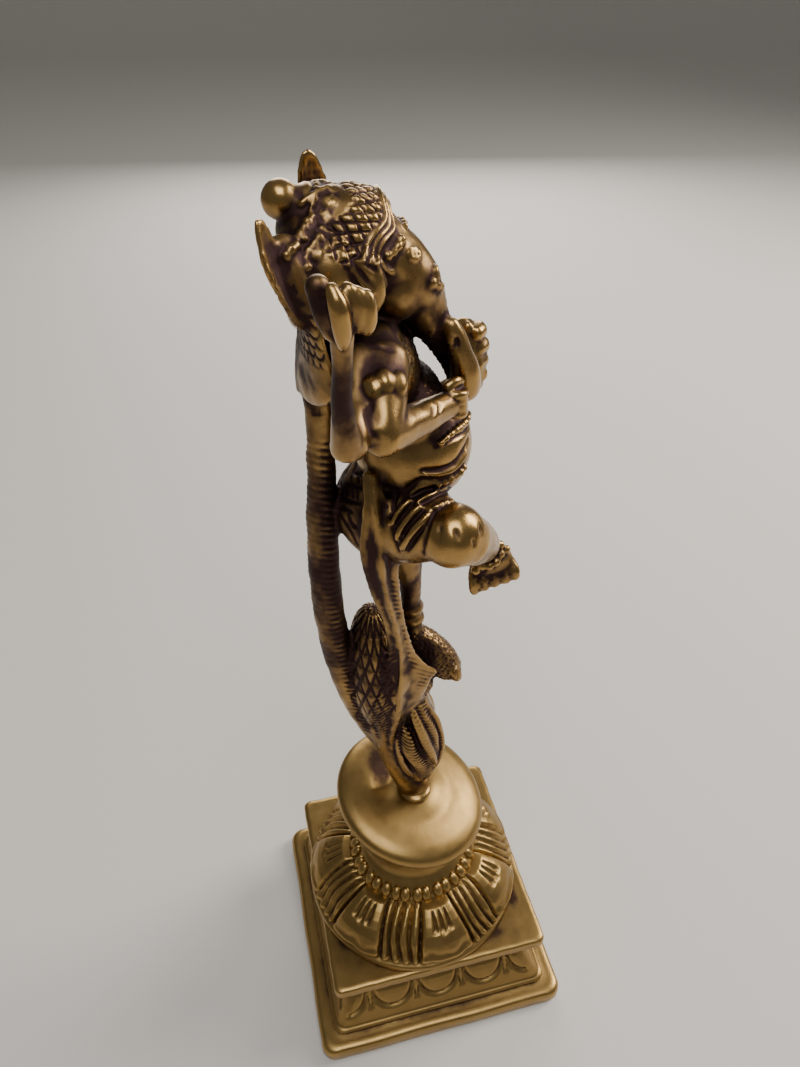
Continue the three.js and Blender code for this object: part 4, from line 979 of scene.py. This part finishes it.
# ------------------------------------------------------------------ wear, patina and painted occlusion shade from the shape
def paint(me, fine_r, broad_r, stains_and_shade=()):
    """Stores, for each vertex, how deep in a recess it is (dark patina in the hollows plus painted occlusion shade) and
    how proud it is (wear).
    """
    V, N = mesh_arrays(me)
    e = edges_of(me)
    small = averaged(V, e, 3)
    wide = averaged(V, e, 14)
    c1 = ((small - V) * N).sum(1)
    c2 = ((wide - V) * N).sum(1)
    cell = 0.7
    lo = V.min(0) - 8
    shape = np.ceil((V.max(0) + 8 - lo) / cell).astype(int)
    area = np.zeros(len(V))
    L = np.linalg.norm(V[e[:, 0]] - V[e[:, 1]], axis=1)
    deg = np.bincount(e.ravel(), minlength=len(V))
    mean = (np.bincount(e[:, 0], weights=L, minlength=len(V)) + np.bincount(e[:, 1], weights=L, minlength=len(V))) / np.maximum(deg, 1)
    area = mean ** 2
    ijk = np.floor((V - lo) / cell).astype(int)
    flat = np.ravel_multi_index(ijk.T, shape)
    g = np.bincount(flat, weights=area, minlength=int(np.prod(shape))).reshape(shape)

    def blur(x, r):
        for ax in range(3):
            for _ in range(2):
                n = x.shape[ax]
                c = np.cumsum(x, axis=ax)
                c = np.concatenate([np.zeros_like(np.take(c, [0], axis=ax)), c], axis=ax)
                hi = np.minimum(np.arange(n) + r + 1, n)
                lo_i = np.maximum(np.arange(n) - r, 0)
                x = (np.take(c, hi, axis=ax) - np.take(c, lo_i, axis=ax)) / (2 * r + 1)
        return x

    occ = []
    for r in (fine_r, broad_r):
        b = blur(g, r)
        q = V + N * (cell * (r + 1) * 0.9)
        j = np.clip(np.floor((q - lo) / cell).astype(int), 0, np.array(shape) - 1)
        occ.append(b[j[:, 0], j[:, 1], j[:, 2]])
    o1 = occ[0] / np.percentile(occ[0], 96)
    o2 = occ[1] / np.percentile(occ[1], 96)
    k1 = np.clip(c1 / np.percentile(np.abs(c1), 93), -1.5, 1.5)
    k2 = np.clip(c2 / np.percentile(np.abs(c2), 93), -1.5, 1.5)
    # curvature (k1, k2) gives the dark patina in the hollows; the occupancy terms o1, o2 paint ambient occlusion shade
    # into the colour
    patina_and_shade = np.clip(0.42 * k1 + 0.30 * k2 + 0.38 * np.clip(o1, 0, 1.3) + 0.30 * np.clip(o2, 0, 1.3) - 0.10, 0, 1)
    wear = np.clip(-0.55 * k1 - 0.45 * k2, 0, 1) * (1 - 0.6 * np.clip(o2, 0, 1))
    stain_and_shade = np.zeros(len(V))
    # listed patches, real stains and painted shade: darker where positive, lighter where negative
    for c, r, k in sorted(stains_and_shade, key=lambda q: q[2] < 0):
        q = (V - np.asarray(c, float)) / np.asarray(r, float)
        stain_and_shade = np.maximum(stain_and_shade, k * np.exp(-((q ** 2).sum(1)) ** 1.4)) if k > 0 else np.where((q ** 2).sum(1) < 1, np.minimum(stain_and_shade, k * (1 - (q ** 2).sum(1))), stain_and_shade)
    patina_and_shade = np.clip(patina_and_shade + stain_and_shade, 0, 1.25)
    wear = wear * (1 - 0.55 * np.clip(stain_and_shade, 0, 1))
    patina_and_shade = averaged(patina_and_shade[:, None], e, 1)[:, 0]
    wear = averaged(wear[:, None], e, 1)[:, 0]
    for name, val in (("patina_and_shade", patina_and_shade), ("wear", wear)):
        a = me.attributes.new(name, "FLOAT", "POINT")
        a.data.foreach_set("value", val.astype(np.float32))


# ------------------------------------------------------------------ brass
def brass(name, gold, dull, dark, rough, patina_and_shade_gain, patina_and_shade_at=(0.12, 0.72)):
    mat = bpy.data.materials.new(name)
    mat.use_nodes = True
    nt = mat.node_tree
    N, L = nt.nodes, nt.links
    b = N["Principled BSDF"]
    b.inputs["Metallic"].default_value = 1.0

    def node(kind, **kw):
        n = N.new(kind)
        for k, v in kw.items():
            setattr(n, k, v)
        return n

    def math_node(op, a, c=None, clamp=False):
        n = node("ShaderNodeMath", operation=op, use_clamp=clamp)
        for i, v in enumerate((a, c)):
            if v is None:
                continue
            if isinstance(v, (int, float)):
                n.inputs[i].default_value = v
            else:
                L.new(v, n.inputs[i])
        return n.outputs[0]

    def mix(fac, a, c):
        n = node("ShaderNodeMix", data_type="RGBA")
        if isinstance(fac, (int, float)):
            n.inputs[0].default_value = fac
        else:
            L.new(fac, n.inputs[0])
        for i, v in ((6, a), (7, c)):
            if isinstance(v, tuple):
                n.inputs[i].default_value = (*v, 1)
            else:
                L.new(v, n.inputs[i])
        return n.outputs[2]

    co = node("ShaderNodeTexCoord").outputs["Object"]

    def noise(scale, detail=4, rough_=0.55):
        n = node("ShaderNodeTexNoise")
        n.inputs["Scale"].default_value = scale
        n.inputs["Detail"].default_value = detail
        n.inputs["Roughness"].default_value = rough_
        L.new(co, n.inputs["Vector"])
        return n.outputs["Fac"]

    # mask from paint(): dark patina in the hollows plus painted occlusion shade
    patina_and_shade = node("ShaderNodeAttribute", attribute_name="patina_and_shade").outputs["Fac"]
    wear = node("ShaderNodeAttribute", attribute_name="wear").outputs["Fac"]
    n1, n2, n3 = noise(70), noise(320, 6), noise(1500, 5, 0.7)
    s = math_node("ADD", math_node("MULTIPLY", patina_and_shade, patina_and_shade_gain), math_node("MULTIPLY", math_node("SUBTRACT", n1, 0.5), 0.75))
    s = math_node("ADD", s, math_node("MULTIPLY", math_node("SUBTRACT", n2, 0.5), 0.5))
    ramp = node("ShaderNodeMapRange", interpolation_type="SMOOTHSTEP")
    ramp.inputs["From Min"].default_value = patina_and_shade_at[0]
    ramp.inputs["From Max"].default_value = patina_and_shade_at[1]
    L.new(s, ramp.inputs["Value"])
    patina_and_shade_amount = ramp.outputs["Result"]
    base = mix(math_node("MULTIPLY", n1, 1.0), gold, dull)
    base = mix(math_node("MULTIPLY", wear, 0.85, True), base, tuple(min(1.0, c * 1.32) for c in gold))
    # darkens towards the dark colour where patina lies and where occlusion shade is painted
    col = mix(patina_and_shade_amount, base, dark)
    speck = math_node("MULTIPLY", math_node("GREATER_THAN", n3, 0.66), 0.45)
    col = mix(speck, col, tuple(c * 0.6 for c in dull))
    L.new(col, b.inputs["Base Color"])
    r = math_node("ADD", math_node("MULTIPLY", patina_and_shade_amount, 0.26), rough)
    r = math_node("ADD", r, math_node("MULTIPLY", math_node("SUBTRACT", n2, 0.5), 0.22))
    r = math_node("SUBTRACT", r, math_node("MULTIPLY", wear, 0.07))
    L.new(r, b.inputs["Roughness"])
    bump = node("ShaderNodeBump")
    bump.inputs["Strength"].default_value = 0.35
    bump.inputs["Distance"].default_value = 0.00012
    L.new(math_node("ADD", n2, math_node("MULTIPLY", n3, 0.5)), bump.inputs["Height"])
    L.new(bump.outputs["Normal"], b.inputs["Normal"])
    return mat


def place(me, name, mat, node_name):
    V, _ = mesh_arrays(me)
    me.vertices.foreach_set("co", (V * 0.001).ravel())
    me.update()
    ob = bpy.data.objects.new(name, me)
    bpy.context.scene.collection.objects.link(ob)
    me.materials.clear()
    me.materials.append(mat)
    me.polygons.foreach_set("use_smooth", [True] * len(me.polygons))
    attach(ob, "root")
    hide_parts(node_name)
    return ob


fig_mat = brass("figure_brass", (0.37, 0.225, 0.075), (0.17, 0.098, 0.045), (0.050, 0.026, 0.024), 0.31, 1.35, (0.06, 0.62))
pl_mat = brass("plinth_brass", (0.37, 0.235, 0.078), (0.22, 0.135, 0.048), (0.056, 0.031, 0.021), 0.385, 1.15, (0.12, 0.78))

# darker (positive) and lighter (negative) patches added to the patina-and-shade mask; some are painted shade, as marked
FIGURE_STAINS_AND_SHADE = [
    ((0, 20.5, 160), (5, 5, 44), 0.55),          # tail behind the back
    ((0, 12, 128), (11, 7, 22), 0.40),           # scaled swelling
    ((0, 24, 215), (19, 6, 20), 0.35),           # hood
    ((-12.2, 14.0, 168), (2.6, 2.2, 14), 0.36),  # back half of the sash: patina and painted shade on the side away from the light
    # lower back edge of the sash: patina and painted shade on the side away from the light
    ((-9.0, 9.8, 136), (3.0, 2.4, 13), 0.50),
    ((-2.6, -1.2, 132.6), (3.4, 3.4, 6.4), 0.65),  # painted shade in the hollow beside the standing foot
    ((-8.2, -14.5, 160.4), (3.6, 6.5, 3.0), 0.28),  # between the toes
    ((-30.0, 19.4, 219), (4.5, 4.5, 10), 0.46),  # rear forearm
    ((-14, 9, 217), (7, 8, 4), 0.35),            # shoulder
    ((-7, 5, 220), (5, 6, 5), 0.24),             # cheek and jaw
    ((-9, 11, 226), (4, 5, 6), 0.35),            # ear
    ((-6, -1, 189), (10, 9, 6), 0.12),           # belly
    ((-32, 22.6, 233), (3, 2.4, 5), 0.40),
    ((-5, 15, 179), (11, 5, 11), 0.34),          # hip pleats
    ((0, 21, 233), (12, 8, 7), 0.30),            # back of the crown
    ((0.5, -5, 126), (8, 8, 10), 0.26),          # standing foot
    ((-7, -14, 160), (4, 6, 6), 0.20),           # raised foot
    ((3, 1, 150), (5, 5, 16), 0.28),             # standing shin
    ((0, -2, 212), (6, 7, 10), 0.22),            # painted shade under the head, at the root of the trunk and the throat
    ((0, 0.5, 73.5), (11, 10, 7), -0.65),        # braze, bright
    ((0, 0, 92), (11, 7, 20), 0.16),
    ((16, 6, 206), (14, 14, 14), 0.18),          # far arms
]
PLINTH_STAINS_AND_SHADE = [
    ((0.6, 0, 73.6), (8, 8, 3.0), -0.8),         # rubbed ring round the braze
    ((9.5, 9.0, 75), (8.5, 4.6, 4), 0.75),       # painted shadow and reflection of the figure on the disc, with some patina
    ((0, 0, 20.5), (30, 30, 4.4), 0.30),         # painted shade in the hollow under the upper slab
    ((0, 1.2, 52), (15, 15, 8), 0.22),
    ((30, 30, 31), (12, 12, 4), -1.3),           # lighter corners of the upper slab, taking back the painted occlusion shade there
    ((-30, 30, 31), (12, 12, 4), -1.3),
    ((30, -30, 31), (12, 12, 4), -1.3),
    ((-30, -30, 31), (12, 12, 4), -1.3),
    # patina and painted shade on the top of the lower slab, under the frieze
    ((0, 0, 6.5), (34, 34, 1.4), 0.25),
    # painted shade at the foot of the hollow under the upper slab
    ((0, 0, 17.6), (32, 32, 1.6), 0.25),
]

figure = build_figure()
paint(figure, 2, 6, FIGURE_STAINS_AND_SHADE)
plinth = build_plinth()
paint(plinth, 2, 6, PLINTH_STAINS_AND_SHADE)
print("figure triangles", sum(len(p.vertices) - 2 for p in figure.polygons), "plinth triangles", sum(len(p.vertices) - 2 for p in plinth.polygons))
fig = place(figure, "dancing_figure", fig_mat, "figure")
pl = place(plinth, "lotus_plinth", pl_mat, "plinth")


# ------------------------------------------------------------------ stage
def make_stage():
    me = bpy.data.meshes.new("floor")
    prof = [(-3.0, 0.0), (2.2, 0.0)] + [(2.2 + 0.9 * math.sin(t), 0.9 - 0.9 * math.cos(t)) for t in np.radians(np.linspace(9, 90, 10))] + [(3.1, 3.2)]
    verts, faces = [], []
    turn = math.atan2(-0.1819, 0.7634)
    for d, z in prof:
        for w in (-4.5, 4.5):
            verts.append((d * math.cos(turn) - w * math.sin(turn), d * math.sin(turn) + w * math.cos(turn), z))
    for i in range(len(prof) - 1):
        faces.append((2 * i, 2 * i + 2, 2 * i + 3, 2 * i + 1))
    me.from_pydata(verts, [], faces)
    me.polygons.foreach_set("use_smooth", [True] * len(me.polygons))
    floor = bpy.data.objects.new("floor", me)
    bpy.context.scene.collection.objects.link(floor)
    floor.location.z = -0.0002
    m = bpy.data.materials.new("floor_paint")
    m.use_nodes = True
    p = m.node_tree.nodes["Principled BSDF"]
    p.inputs["Base Color"].default_value = (0.72, 0.68, 0.62, 1)
    p.inputs["Roughness"].default_value = 0.75
    me.materials.append(m)

    def area(name, loc, target, size, power, colour):
        d = bpy.data.lights.new(name, "AREA")
        d.shape = "RECTANGLE"
        d.size, d.size_y = size
        d.energy = power
        d.color = colour
        o = bpy.data.objects.new(name, d)
        o.location = loc
        o.rotation_mode = "QUATERNION"
        o.rotation_quaternion = (Vector(target) - Vector(loc)).to_track_quat("-Z", "Y")
        bpy.context.scene.collection.objects.link(o)

    area("window", (0.15, -0.85, 0.70), (0, 0, 0.14), (0.45, 0.6), 10, (1.0, 0.97, 0.92))
    area("sky", (-0.35, 0.05, 1.0), (0, 0, 0.12), (0.5, 0.5), 4.5, (0.97, 0.98, 1.0))
    area("back", (0.9, -0.2, 0.45), (0, 0, 0.12), (0.6, 0.6), 5, (1.0, 0.98, 0.95))
    w = bpy.data.worlds.new("studio")
    bpy.context.scene.world = w
    w.use_nodes = True
    bg = w.node_tree.nodes["Background"]
    bg.inputs["Color"].default_value = (0.80, 0.80, 0.80, 1)
    bg.inputs["Strength"].default_value = 0.22


def make_camera():
    cam = bpy.data.cameras.new("camera")
    cam.sensor_width = 36.0
    cam.lens = 26.33
    cam.clip_start = 0.005
    o = bpy.data.objects.new("camera", cam)
    d = Vector((0.7634, -0.1819, -0.6198)).normalized()
    right = d.cross(Vector((0, 0, 1))).normalized()
    up = right.cross(d)
    roll = math.radians(-0.55)
    r2 = right * math.cos(roll) + up * math.sin(roll)
    u2 = up * math.cos(roll) - right * math.sin(roll)
    M = Matrix((r2, u2, -d)).transposed().to_4x4()
    M.translation = Vector((-0.1268, 0.0344, 0.2712))
    o.matrix_world = M
    bpy.context.scene.collection.objects.link(o)
    bpy.context.scene.camera = o


make_stage()
make_camera()
bpy.context.view_layer.update()
